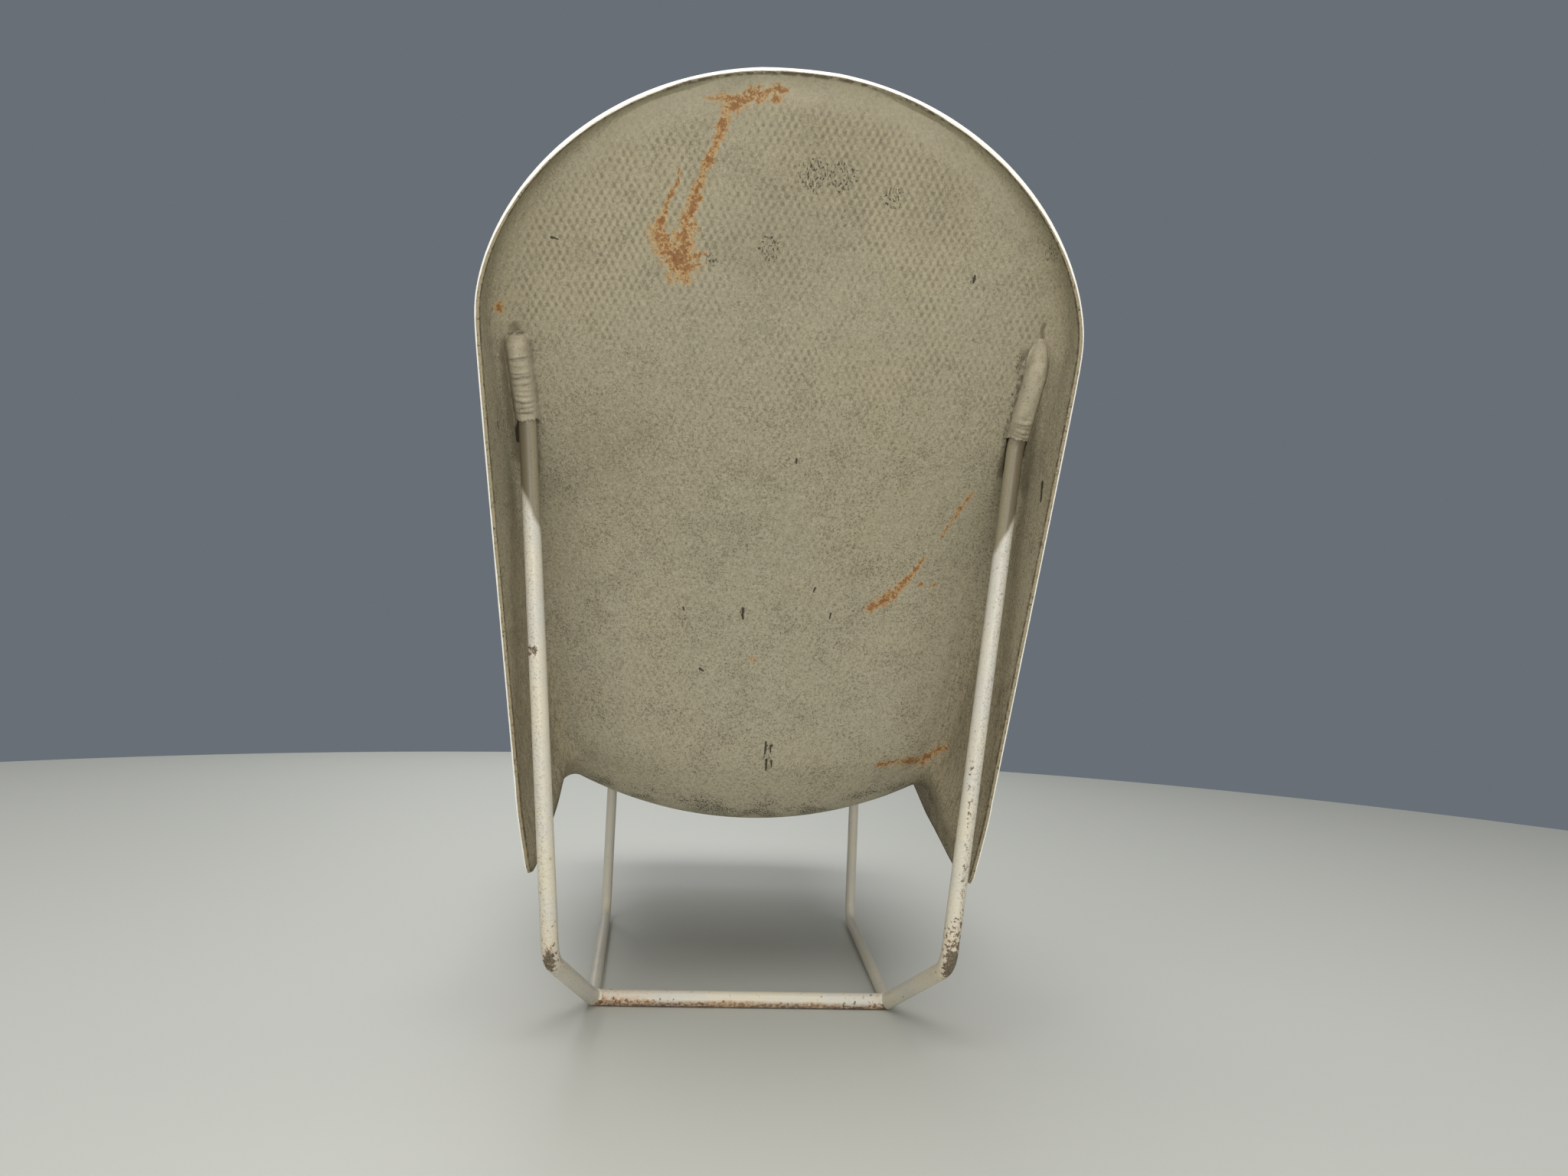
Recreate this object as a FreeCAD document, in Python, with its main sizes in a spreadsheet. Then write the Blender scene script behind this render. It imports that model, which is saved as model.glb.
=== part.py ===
# Fibreglass chaise lounge. One moulded shell, dished for the sitter, rolls over at
# its rim into side skirts that hang back and down to a rounded heel at each hip.
# A frame of bent and welded steel tube carries it, bonded on with glass-cloth tabs.
# Millimetres. +Z is up, the sitter faces -Y, +X is the sitter's left. The origin is
# on the floor, under the middle of the rear floor bar.

import FreeCAD, Part
import math
import os

Vector = FreeCAD.Vector

doc = FreeCAD.newDocument("chaise_lounge")
sheet = doc.addObject("Spreadsheet::Sheet", "sizes")

SIZES = [
    # shell profile on the centre line, head to foot
    ("shell_thickness", 5.0),
    ("hip_height", 234.0),
    ("hip_forward", 92.0),
    ("hip_radius", 154.0),
    ("recline_low", 23.0),
    ("recline_top", 17.0),
    ("back_length", 769.0),
    ("head_roll_radius", 24.0),
    ("head_roll_turn", 60.0),
    ("seat_rise", 13.0),
    ("seat_length", 370.0),
    ("knee_radius", 220.0),
    ("leg_fall", 15.0),
    ("leg_length", 222.0),
    ("foot_roll_radius", 80.0),
    ("foot_roll_turn", 45.0),
    # shell widths and cross sections
    ("arch_length", 296.0),
    ("shoulder_half_width", 336.0),
    ("shoulder_turn", 6.0),
    ("side_taper", 5.9),
    ("back_half_width", 280.5),
    ("hip_half_width", 262.0),
    ("seat_half_width", 276.0),
    ("foot_half_width", 262.0),
    ("foot_corner", 120.0),
    ("full_dish_half_width", 280.0),
    ("dish_head", 10.0),
    ("dish_back", 42.0),
    ("dish_hip", 57.0),
    ("dish_seat", 46.0),
    ("dish_foot", 22.0),
    ("rim_roll_radius", 32.0),
    ("hip_roll_radius", 24.0),
    ("skirt_flare", 8.0),
    ("crown_length", 45.0),
    ("heel_setback", 120.0),
    ("heel_height", 182.0),
    ("heel_round", 18.0),
    ("skirt_rise", 14.5),
    ("skirt_turn", 12.0),
    ("seat_skirt", 42.0),
    # frame
    ("rear_tube_diameter", 20.0),
    ("side_tube_diameter", 16.0),
    ("tube_wall", 1.5),
    ("floor_flat", 0.4),
    ("corner_half_width", 190.0),
    ("leg_bend_half_width", 228.0),
    ("leg_bend_setback", 163.0),
    ("leg_bend_height", 101.0),
    ("leg_elbow_height", 711.0),
    ("rear_bend_radius", 34.0),
    ("front_foot_half_width", 201.5),
    ("front_foot_forward", 440.0),
    ("front_bend_radius", 30.0),
    ("weld_leg", 2.2),
    # bonds between tube ends and shell
    ("bond_gap", 1.6),
    ("bond_clearance", 0.85),
    ("tube_clearance", 0.1),
    ("rear_bond_length", 80.0),
    ("front_bond_length", 120.0),
    ("tab_ply", 3.5),
]

for row, (alias, value) in enumerate(SIZES, start=1):
    sheet.set("A%d" % row, alias)
    sheet.set("B%d" % row, str(value))
    sheet.setAlias("B%d" % row, alias)
doc.recompute()


def size(alias):
    return float(sheet.get(alias))


def angle(alias):
    return math.radians(size(alias))


# Shell form

def profile_runs():
    """Runs of the centre line from head to foot: length, start heading, end heading."""
    top = angle("recline_top") - math.pi / 2
    low = angle("recline_low") - math.pi / 2
    head = top + angle("head_roll_turn")
    rise = angle("seat_rise")
    fall = -angle("leg_fall")
    foot = fall - angle("foot_roll_turn")
    return [
        (size("head_roll_radius") * (head - top), head, top),
        (size("back_length"), top, low),
        (size("hip_radius") * (rise - low), low, rise),
        (size("seat_length"), rise, rise),
        (size("knee_radius") * (rise - fall), rise, fall),
        (size("leg_length"), fall, fall),
        (size("foot_roll_radius") * (fall - foot), fall, foot),
    ]


RUNS = profile_runs()
RUN_ENDS = [sum(run[0] for run in RUNS[:count]) for count in range(len(RUNS) + 1)]
HEAD_END, BACK_END, HIP_END, SEAT_END, KNEE_END, LEG_END, FOOT_END = RUN_ENDS[1:]


def walk(station):
    """Forward and height travelled from the head edge, and the heading there."""
    forward = height = 0.0
    heading = RUNS[0][1]
    for length, start, end in RUNS:
        step = min(station, length)
        heading = start + (end - start) * step / length
        if start == end:
            forward += step * math.cos(start)
            height += step * math.sin(start)
        else:
            bend = (end - start) / length
            forward += (math.sin(heading) - math.sin(start)) / bend
            height += (math.cos(start) - math.cos(heading)) / bend
        station -= step
        if station <= 0:
            break
    return forward, height, heading


HIP_LOW = BACK_END + size("hip_radius") * -RUNS[2][1]
HIP_WALK = walk(HIP_LOW)


def centre_line(station):
    forward, height, heading = walk(station)
    return (forward - HIP_WALK[0] + size("hip_forward"),
            height - HIP_WALK[1] + size("hip_height"), heading)


def blend(station, stops):
    """Smooth steps between (station, value) stops."""
    if station <= stops[0][0]:
        return stops[0][1]
    for (start, before), (end, after) in zip(stops, stops[1:]):
        if station <= end:
            share = (station - start) / (end - start)
            return before + (after - before) * share * share * (3 - 2 * share)
    return stops[-1][1]


def soft_larger(first, second, softness):
    return 0.5 * (first + second + math.hypot(first - second, softness))


def trim_distance(station, point, direction):
    """Where the section plane's normal line meets a straight trim line of the skirt."""
    forward, height, heading = centre_line(station)
    square = (-direction[1], direction[0])
    normal = (-math.sin(heading), math.cos(heading))
    facing = square[0] * normal[0] + square[1] * normal[1]
    if facing < 0.05:
        return None
    offset = square[0] * (point[0] - forward) + square[1] * (point[1] - height)
    return offset / facing


def rear_trim():
    """The straight rear trim line of the skirts: head edge, heel and direction."""
    head = centre_line(0.0)
    heel = (-size("heel_setback"), size("heel_height"))
    run = math.hypot(heel[0] - head[0], heel[1] - head[1])
    return head, heel, ((heel[0] - head[0]) / run, (heel[1] - head[1]) / run)


def rear_reach(station):
    """How far down the rear trim line a section meets it."""
    head, heel, direction = rear_trim()
    forward, height, heading = centre_line(station)
    rim = trim_distance(station, heel, direction)
    return ((forward - rim * math.sin(heading) - head[0]) * direction[0]
            + (height + rim * math.cos(heading) - head[1]) * direction[1])


ARCH_REACH = rear_reach(size("arch_length"))


def station_where(reading, wanted, low, high):
    """Station between two limits at which a rising reading has the wanted value."""
    for _ in range(40):
        middle = (low + high) / 2
        if reading(middle) < wanted:
            low = middle
        else:
            high = middle
    return (low + high) / 2


def side_width(station):
    """Half width of the back: the head's arch, running into straight sides that taper downwards."""
    reach = rear_reach(station) / ARCH_REACH if station < size("arch_length") else 1.0
    arch = size("shoulder_half_width") * math.sqrt(max(0.0, 1 - (1 - reach) ** 2))
    line = size("back_half_width") + math.tan(angle("side_taper")) * (BACK_END - station)
    return -soft_larger(-arch, -line, size("shoulder_turn"))


def rim_half_width(station):
    heel_station = BACK_END + 0.4 * (HIP_END - BACK_END)
    if station <= BACK_END:
        width = side_width(station)
    elif station < heel_station:
        length = heel_station - BACK_END
        share = (station - BACK_END) / length
        width = blend(station, [(BACK_END, side_width(BACK_END)), (heel_station, size("hip_half_width"))])
        width -= math.tan(angle("side_taper")) * length * share * (1 - share) ** 2
    else:
        width = blend(station, [(heel_station, size("hip_half_width")), (SEAT_END, size("seat_half_width")),
                                (FOOT_END, size("foot_half_width"))])
    to_end = FOOT_END - station
    corner = size("foot_corner")
    if to_end < corner:
        width -= corner * (1 - math.sqrt(max(0.0, 1 - (1 - to_end / corner) ** 2)))
    return width


def dish_depth(station, half_width):
    depth = blend(station, [(0.3 * size("arch_length"), size("dish_head")),
                            (0.75 * BACK_END, size("dish_back")),
                            (HIP_END, size("dish_hip")), (SEAT_END, size("dish_seat")),
                            (FOOT_END, size("dish_foot"))])
    return depth * min(1.0, half_width / size("full_dish_half_width")) ** 2


def smooth_share(distance, length):
    share = min(1.0, max(0.0, distance / length))
    return share * share * (3 - 2 * share)


def foot_share(station):
    """Falls from one to nothing over the rounded corners of the foot."""
    return smooth_share(FOOT_END - station, size("foot_corner"))


def rim_offset(station, dish):
    """Height of the rim over the centre line, square to it; negative is behind the shell."""
    head, heel, direction = rear_trim()
    rear = trim_distance(station, heel, direction)
    if station <= BACK_END:
        return rear
    seat = dish - size("seat_skirt")
    under = trim_distance(station, heel, (math.cos(angle("skirt_rise")), math.sin(angle("skirt_rise"))))
    under = seat if under is None else -soft_larger(-under, -seat, size("skirt_turn"))
    if station > KNEE_END:
        # round the foot the skirt is trimmed level with the foot edge
        fall = (math.cos(angle("leg_fall")), -math.sin(angle("leg_fall")))
        edge = trim_distance(station, centre_line(FOOT_END), fall)
        softness = size("skirt_turn") / 2 * smooth_share(station - KNEE_END, size("leg_length"))
        return soft_larger(under, edge, softness)
    if rear is None or station > HIP_END:
        return under
    return soft_larger(rear, under, size("heel_round"))


def section(station):
    """Dish arc, rim roll and skirt of one cross section."""
    width = rim_half_width(station)
    dish = dish_depth(station, width)
    rim = rim_offset(station, dish)
    flare = angle("skirt_flare")
    roll = blend(station, [(0.6 * BACK_END, size("rim_roll_radius")), (BACK_END, size("hip_roll_radius"))])
    roll = min(roll, 0.92 * (dish - rim), 0.6 * width)
    half = width - roll
    for _ in range(8):
        slope = 2 * math.atan2(dish, half)
        skirt = (dish - roll * math.cos(slope) + roll * math.sin(flare) - rim) / math.cos(flare)
        half = width - roll * (math.sin(slope) + math.cos(flare)) - skirt * math.sin(flare)
    return {"width": width, "rim": rim, "dish": dish, "slope": slope, "roll": roll, "skirt": skirt,
            "radius": (half * half + dish * dish) / (2 * dish),
            "centre": (half + roll * math.sin(slope), dish - roll * math.cos(slope))}


DISH_SHARES = [0.0, 0.3, 0.56, 0.76, 0.9, 1.0]
ROLL_STEPS = 7
SKIRT_SHARES = [0.14, 0.34, 0.62, 1.0]


def half_marks():
    """Even parameters of the columns from the centre to the rim, as in a middling section."""
    half, roll, skirt = size("hip_half_width"), size("rim_roll_radius"), size("seat_skirt")
    marks = [share * half for share in DISH_SHARES]
    marks += [marks[-1] + 2 * roll * step / ROLL_STEPS for step in range(1, ROLL_STEPS + 1)]
    return marks + [marks[-1] + share * skirt for share in SKIRT_SHARES]


def section_points(station):
    """Lateral and normal offsets from the centre to the rim, on the moulded face."""
    cut = section(station)
    flare = angle("skirt_flare")
    points = []
    for share in DISH_SHARES:
        turn = share * cut["slope"]
        points.append((cut["radius"] * math.sin(turn), cut["radius"] * (1 - math.cos(turn))))
    centre_x, centre_v = cut["centre"]
    for step in range(1, ROLL_STEPS + 1):
        turn = cut["slope"] - (math.pi / 2 - flare + cut["slope"]) * step / ROLL_STEPS
        points.append((centre_x - cut["roll"] * math.sin(turn), centre_v + cut["roll"] * math.cos(turn)))
    end_x, end_v = points[-1]
    for share in SKIRT_SHARES:
        points.append((end_x + share * cut["skirt"] * math.sin(flare),
                       end_v - share * cut["skirt"] * math.cos(flare)))
    # towards the head and foot edges the section flattens into a plain crown
    full = smooth_share(station, size("crown_length")) * foot_share(station)
    marks = half_marks()
    crown = [mark / marks[-1] for mark in marks]
    return [(full * x + (1 - full) * cut["width"] * share, full * v + (1 - full) * cut["rim"] * share ** 2)
            for (x, v), share in zip(points, crown)]


def place(station, lateral, normal_offset):
    forward, height, heading = centre_line(station)
    return Vector(lateral, -(forward - normal_offset * math.sin(heading)),
                  height + normal_offset * math.cos(heading))


def moulded_row(station):
    half = section_points(station)
    full = [(-x, v) for x, v in reversed(half[1:])] + half
    return [place(station, x, v) for x, v in full]


def shell_stations():
    """Stations along the centre line, and the even parameter of each."""
    arch, corner = size("arch_length"), size("foot_corner")
    arch_start, corner_stop = math.radians(7.0), math.radians(82.0)
    arch_steps, corner_steps = 14, 10
    marks = []
    for step in range(arch_steps + 1):
        turn = arch_start + (math.pi / 2 - arch_start) * step / arch_steps
        station = station_where(rear_reach, ARCH_REACH * (1 - math.cos(turn)), 0.0, arch)
        marks.append((station, arch * (turn - math.pi / 2) + arch))
    corner_start = FOOT_END - corner
    for start, end, steps in [(arch, BACK_END, 10), (BACK_END, HIP_END, 14), (HIP_END, SEAT_END, 7),
                              (SEAT_END, KNEE_END, 3), (KNEE_END, corner_start, 3)]:
        for step in range(1, steps + 1):
            station = start + (end - start) * step / steps
            marks.append((station, station))
    for step in range(1, corner_steps + 1):
        turn = corner_stop * step / corner_steps
        marks.append((corner_start + corner * math.sin(turn), corner_start + corner * turn))
    return marks


def skin(rows, row_marks, column_marks):
    """Surface through rows of points."""
    curves = []
    for row in rows:
        curve = Part.BSplineCurve()
        curve.interpolate(Points=row, Parameters=column_marks)
        curves.append(curve)
    pole_columns = []
    for index in range(curves[0].NbPoles):
        along = Part.BSplineCurve()
        along.interpolate(Points=[curve.getPole(index + 1) for curve in curves], Parameters=row_marks)
        pole_columns.append(along)
    poles = [[column.getPole(index + 1) for column in pole_columns]
             for index in range(pole_columns[0].NbPoles)]
    surface = Part.BSplineSurface()
    surface.buildFromPolesMultsKnots(poles, pole_columns[0].getMultiplicities(), curves[0].getMultiplicities(),
                                     pole_columns[0].getKnots(), curves[0].getKnots(), False, False, 3, 3)
    return surface


def back_row(row, before, after, thickness):
    """The laminate face: the moulded row moved back along its normals."""
    moved = []
    last = len(row) - 1
    for index, point in enumerate(row):
        if 0 < index < last:
            inner, outer = point - row[index - 1], row[index + 1] - point
            across = outer * (inner.Length / outer.Length) + inner * (outer.Length / inner.Length)
        else:
            across = row[min(index + 1, last)] - row[max(index - 1, 0)]
        along = after[index] - before[index]
        normal = along.cross(across)
        normal.normalize()
        moved.append(point - normal * thickness)
    return moved


def shell_solid():
    marks = shell_stations()
    first = marks[0][0]
    probe = 0.5
    front, back = [], []
    for station, _ in marks:
        row = moulded_row(station)
        before = moulded_row(max(station - probe, 0.8 * first))
        after = moulded_row(min(station + probe, FOOT_END))
        front.append(row)
        back.append(back_row(row, before, after, size("shell_thickness")))
    row_marks = [mark for _, mark in marks]
    half = half_marks()
    columns = [-mark for mark in reversed(half[1:])] + half
    faces = [skin(rows, row_marks, columns).toShape() for rows in (front, back)]
    rims = [Part.makeRuledSurface(inner, outer) for inner, outer in zip(faces[0].Edges, faces[1].Edges)]
    skin_shell = Part.makeShell(faces + rims)
    skin_shell.sewShape()
    solid = Part.makeSolid(skin_shell)
    if solid.Volume < 0:
        solid.reverse()
    return solid


def feature(name, shape):
    item = doc.addObject("Part::Feature", name)
    item.Shape = shape
    return item


shell = feature("seat_shell", shell_solid())


# Frame and bonds: the left side is built, and the right side mirrors it

def solid_of(kind, name, bindings, placement=None):
    item = doc.addObject(kind, name)
    for target, expression in bindings.items():
        item.setExpression(target, expression)
    if placement is not None:
        item.Placement = placement
    return item


def cut(name, base, *tools):
    for index, tool in enumerate(tools, start=1):
        item = doc.addObject("Part::Cut", name if index == len(tools) else "%s_cut%d" % (name, index))
        item.Base, item.Tool = base, tool
        base = item
    return base


def facing(point, direction):
    """Placement at a point with its local Z along a direction."""
    return FreeCAD.Placement(point, FreeCAD.Rotation(Vector(0, 0, 1), direction))


def unit(vector):
    return vector / vector.Length


def bent_path(name, points, bend):
    """Straight runs joined by tangent arcs."""
    edges = []
    start = points[0]
    for before, corner, after in zip(points, points[1:], points[2:]):
        incoming, outgoing = unit(corner - before), unit(after - corner)
        half_turn = incoming.getAngle(outgoing) / 2
        reach = bend * math.tan(half_turn)
        inside = unit(outgoing - incoming) * (bend / math.cos(half_turn) - bend)
        first, last = corner - incoming * reach, corner + outgoing * reach
        edges.append(Part.LineSegment(start, first).toShape())
        edges.append(Part.Arc(first, corner + inside, last).toShape())
        start = last
    edges.append(Part.LineSegment(start, points[-1]).toShape())
    return feature(name, Part.Wire(edges))


def rod(name, path, radius_expression):
    """A round solid along a path."""
    first = path.Shape.Edges[0]
    start = first.Vertexes[0].Point
    ring = solid_of("Part::Circle", name + "_ring", {"Radius": radius_expression},
                    facing(start, first.tangentAt(first.FirstParameter)))
    sweep = doc.addObject("Part::Sweep", name)
    sweep.Sections = [ring]
    sweep.Spine = (path, ["Edge%d" % count for count in range(1, len(path.Shape.Edges) + 1)])
    sweep.Solid = True
    return sweep


REAR_RADIUS = "sizes.rear_tube_diameter / 2"
SIDE_RADIUS = "sizes.side_tube_diameter / 2"
rear_radius = size("rear_tube_diameter") / 2
side_radius = size("side_tube_diameter") / 2


def valley_axis(station):
    """Axis of a rear tube lying in the fold behind the rim roll, on the left."""
    cut_at = section(station)
    lateral, centre_v = cut_at["centre"]
    depth = size("shell_thickness") + size("bond_gap") + rear_radius
    return place(station, lateral, centre_v + cut_at["roll"] - depth)


def seat_axis(station):
    """Axis of a side tube lying along the underside of the seat, and the way to the shell."""
    dish = section(station)
    turn = math.asin(size("front_foot_half_width") / dish["radius"])
    depth = size("shell_thickness") + size("bond_gap") + side_radius
    reach = dish["radius"] + depth
    axis = place(station, reach * math.sin(turn), dish["radius"] - reach * math.cos(turn))
    face = place(station, dish["radius"] * math.sin(turn), dish["radius"] * (1 - math.cos(turn)))
    return axis, unit(face - axis)


elbow_station = station_where(lambda s: -valley_axis(s).z, -size("leg_elbow_height"), HEAD_END, BACK_END)
elbow = valley_axis(elbow_station)
leg_end = valley_axis(elbow_station - size("rear_bond_length"))
corner = Vector(size("corner_half_width"), 0, rear_radius - size("floor_flat"))
leg_bend = Vector(size("leg_bend_half_width"), size("leg_bend_setback"), size("leg_bend_height"))

seat_station = station_where(lambda s: -seat_axis(s)[0].y, size("front_foot_forward"), HIP_END, KNEE_END)
seat_elbow, seat_normal = seat_axis(seat_station)
seat_end = seat_axis(seat_station - size("front_bond_length"))[0]
runner_height = side_radius - size("floor_flat")
runner_start = Vector(corner.x, corner.y, runner_height)
front_foot = Vector(seat_elbow.x, -size("front_foot_forward"), runner_height)

# Cutting blocks: the floor, and the two sides of the mitre at the rear corner
block = 8 * size("rear_tube_diameter")
floor_reach = 4 * size("shoulder_half_width")


def level_block(name, top):
    box = doc.addObject("Part::Box", name)
    box.Length, box.Width, box.Height = floor_reach, floor_reach, block
    box.Placement.Base = Vector(-floor_reach / 2, -floor_reach / 2, top - block)
    return box


floor = level_block("floor_block", 0.0)

to_leg = unit(leg_bend - corner)
to_bar = Vector(-1, 0, 0)
mitre_normal = unit(to_leg - to_bar)


def mitre_block(name, direction, point):
    box = doc.addObject("Part::Box", name)
    box.Length = box.Width = box.Height = block
    turn = FreeCAD.Rotation(Vector(0, 0, 1), direction)
    box.Placement = FreeCAD.Placement(point - turn.multVec(Vector(block / 2, block / 2, 0)), turn)
    return box


over_corner = size("rear_tube_diameter")
leg_path = bent_path("rear_leg_path", [corner - to_leg * over_corner, leg_bend, elbow, leg_end],
                     size("rear_bend_radius"))
leg_round = rod("rear_leg_round", leg_path, REAR_RADIUS)
leg_bore = rod("rear_leg_bore", leg_path, REAR_RADIUS + " - sizes.tube_wall")
leg_solid = cut("rear_leg_solid", leg_round, mitre_block("leg_mitre", mitre_normal * -1, corner), floor)
leg_left = cut("rear_leg_left", leg_solid, leg_bore)


def bar_rod(name, radius_expression):
    start = Vector(-corner.x - over_corner, corner.y, corner.z)
    return solid_of("Part::Cylinder", name,
                    {"Radius": radius_expression,
                     "Height": "2 * (sizes.corner_half_width + sizes.rear_tube_diameter)"},
                    facing(start, Vector(1, 0, 0)))


mirror_corner = Vector(-corner.x, corner.y, corner.z)
mirror_mitre = Vector(-mitre_normal.x, mitre_normal.y, mitre_normal.z)
bar_solid = cut("rear_bar_solid", bar_rod("rear_bar_round", REAR_RADIUS),
                mitre_block("bar_mitre_left", mitre_normal, corner),
                mitre_block("bar_mitre_right", mirror_mitre, mirror_corner), floor)
bar = cut("rear_floor_bar", bar_solid, bar_rod("rear_bar_bore", REAR_RADIUS + " - sizes.tube_wall"))

side_path = bent_path("side_tube_path", [runner_start, front_foot, seat_elbow, seat_end],
                      size("front_bend_radius"))
side_round = rod("side_tube_round", side_path, SIDE_RADIUS)
side_bore = rod("side_tube_bore", side_path, SIDE_RADIUS + " - sizes.tube_wall")
side_solid = cut("side_tube_solid", side_round, leg_solid, bar_solid, floor)
side_left = cut("side_tube_left", side_solid, side_bore)

# Welds: a fillet over the runner's end, and a collar over the mitre, both ground off
# below the tubes' axes so that the frame sits flat

def stub(name, start, direction, radius_expression):
    """A short straight length of tube, as a solid, for shaping the welds."""
    return solid_of("Part::Cylinder", name,
                    {"Radius": radius_expression, "Height": "3 * sizes.rear_tube_diameter"},
                    facing(start, direction))


runner_way = unit(front_foot - runner_start)
leg_stub = cut("leg_stub", stub("leg_stub_round", corner - to_leg * over_corner, to_leg, REAR_RADIUS),
               mitre_block("stub_mitre", mitre_normal * -1, corner))
runner_stub = stub("runner_stub", runner_start, runner_way, SIDE_RADIUS)
proud_runner = stub("proud_runner", runner_start, runner_way, SIDE_RADIUS + " + sizes.weld_leg")
proud_bar = stub("proud_bar", corner + Vector(over_corner, 0, 0), to_bar, REAR_RADIUS + " + sizes.weld_leg")
ground = level_block("ground_block", corner.z)
weld_fillet = doc.addObject("Part::Common", "weld_fillet")
weld_fillet.Base, weld_fillet.Tool = proud_bar, proud_runner
runner_weld_left = cut("runner_weld_left", weld_fillet, ground, leg_stub, bar_solid, runner_stub)

collar_bar = stub("collar_bar", corner + Vector(over_corner, 0, 0), to_bar,
                  REAR_RADIUS + " + sizes.weld_leg / 2")
collar_leg = stub("collar_leg", corner - to_leg * over_corner, to_leg, REAR_RADIUS + " + sizes.weld_leg / 2")
collar_shift = mitre_normal * size("weld_leg")
half_bar = cut("half_bar", collar_bar, mitre_block("collar_bar_end", mitre_normal, corner),
               mitre_block("collar_bar_start", mitre_normal * -1, corner - collar_shift))
half_leg = cut("half_leg", collar_leg, mitre_block("collar_leg_end", mitre_normal * -1, corner),
               mitre_block("collar_leg_start", mitre_normal, corner + collar_shift))
collar = doc.addObject("Part::Fuse", "collar")
collar.Base, collar.Tool = half_bar, half_leg
mitre_weld_left = cut("mitre_weld_left", collar, ground, leg_stub, bar_solid, proud_runner)
doc.recompute()


# Bonds: a bed of resin under each tube end and a tab of glass cloth over it

def bond_block(name, start, end, toward_shell, half_width, depth):
    along = unit(end - start)
    across = along.cross(toward_shell)
    turn = FreeCAD.Rotation(across, along, toward_shell, "ZXY")
    box = doc.addObject("Part::Box", name)
    box.Length, box.Width, box.Height = 2 * half_width, (end - start).Length, depth
    box.Placement = FreeCAD.Placement(start - across * half_width, turn)
    return box


def bond_rod(name, start, end, radius):
    item = doc.addObject("Part::Cylinder", name)
    item.Radius, item.Height = radius, (end - start).Length
    item.Placement = facing(start, end - start)
    return item


def bond(name, start, end, toward_shell, radius, depth, fold=None):
    """Tab and bed for a straight tube end; depth reaches from the tube's axis to the laminate."""
    outer = radius + size("tab_ply")
    way = unit(end - start)
    tube = bond_rod(name + "_tube", start - way * outer, end + way * size("tube_clearance"),
                    radius + size("tube_clearance"))
    cover = bond_rod(name + "_cover", start, end, outer)
    dome = doc.addObject("Part::Sphere", name + "_dome")
    dome.Radius = outer
    dome.Placement.Base = end
    mass = doc.addObject("Part::MultiFuse", name + "_mass")
    mass.Shapes = [cover, dome, bond_block(name + "_flanks", start, end, toward_shell, outer, depth)]
    bed = bond_block(name + "_bed_block", start, end, toward_shell, 0.7 * radius, depth)
    bed_room = bond_block(name + "_bed_room", start - way * outer, end, toward_shell, 0.7 * radius, 2 * depth)
    tab = mass
    if fold is not None:
        tab, bed = fit_fold(name + "_tab_fold", tab, fold), fit_fold(name + "_bed_fold", bed, fold)
    return cut(name + "_tab_left", tab, bed_room, tube), cut(name + "_bed_left", bed, tube)


def fit_fold(name, item, fold):
    fitted = doc.addObject("Part::Common", name)
    fitted.Base, fitted.Tool = item, fold
    return fitted


def bond_start(bend_point, end, before, bend):
    """Past the bend, where the tube runs straight along the shell."""
    way = unit(end - bend_point)
    half_turn = unit(bend_point - before).getAngle(way) / 2
    return bend_point + way * (bend * math.tan(half_turn) + size("bond_gap"))


def square_to(vector, axis):
    return unit(vector - axis * vector.dot(axis))


def roll_centre(station):
    return place(station, *section(station)["centre"])


rear_way, seat_way = unit(leg_end - elbow), unit(seat_end - seat_elbow)
rear_out = square_to(place(elbow_station, 0, 1) - place(elbow_station, 0, 0), rear_way)
fold_stops = 7
fold_over = size("rear_tube_diameter")
fold_reach = size("rear_bond_length") + 2 * fold_over
fold_stations = [elbow_station + fold_over - step / (fold_stops - 1) * fold_reach for step in range(fold_stops)]
fold_roll = min(section(station)["roll"] for station in fold_stations)
fold_curve = Part.BSplineCurve()
fold_curve.interpolate([roll_centre(station) for station in fold_stations])
fold = rod("rear_fold", feature("rear_fold_path", Part.Wire([fold_curve.toShape()])),
           "%.4f - sizes.shell_thickness - sizes.bond_clearance" % fold_roll)
rear_start = bond_start(elbow, leg_end, leg_bend, size("rear_bend_radius"))
rear_tab, rear_bed = bond("rear_bond", rear_start, leg_end, rear_out, rear_radius,
                          rear_radius + size("bond_gap") + size("shell_thickness"), fold)
front_start = bond_start(seat_elbow, seat_end, front_foot, size("front_bend_radius"))
front_tab, front_bed = bond("front_bond", front_start, seat_end, square_to(seat_normal, seat_way), side_radius,
                            side_radius + size("bond_gap") - size("bond_clearance"))


def mirrored(item):
    twin = doc.addObject("Part::Mirroring", item.Name.replace("_left", "_right"))
    twin.Source = item
    twin.Normal = Vector(1, 0, 0)
    return twin


left_pieces = [leg_left, side_left, runner_weld_left, mitre_weld_left,
               rear_tab, rear_bed, front_tab, front_bed]
pieces = [shell, bar] + left_pieces + [mirrored(item) for item in left_pieces]
for item in pieces:
    item.Label = item.Name
doc.recompute()

for item in doc.Objects:
    if any(flag in ("Invalid", "Error") for flag in item.State):
        raise RuntimeError("%s did not rebuild: %s" % (item.Name, item.State))
for item in pieces:
    shape = item.Shape
    if shape.isNull() or not shape.isValid() or len(shape.Solids) != 1:
        raise RuntimeError("%s is not one sound solid: %d" % (item.Name, len(shape.Solids)))

os.makedirs("parts", exist_ok=True)
for item in pieces:
    item.Shape.exportStep("parts/%s.step" % item.Label)
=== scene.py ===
from math import atan2, cos, exp, hypot, pi, radians, sin, sqrt, tan
import random
import bpy
from mathutils import Matrix, Vector, kdtree


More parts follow.
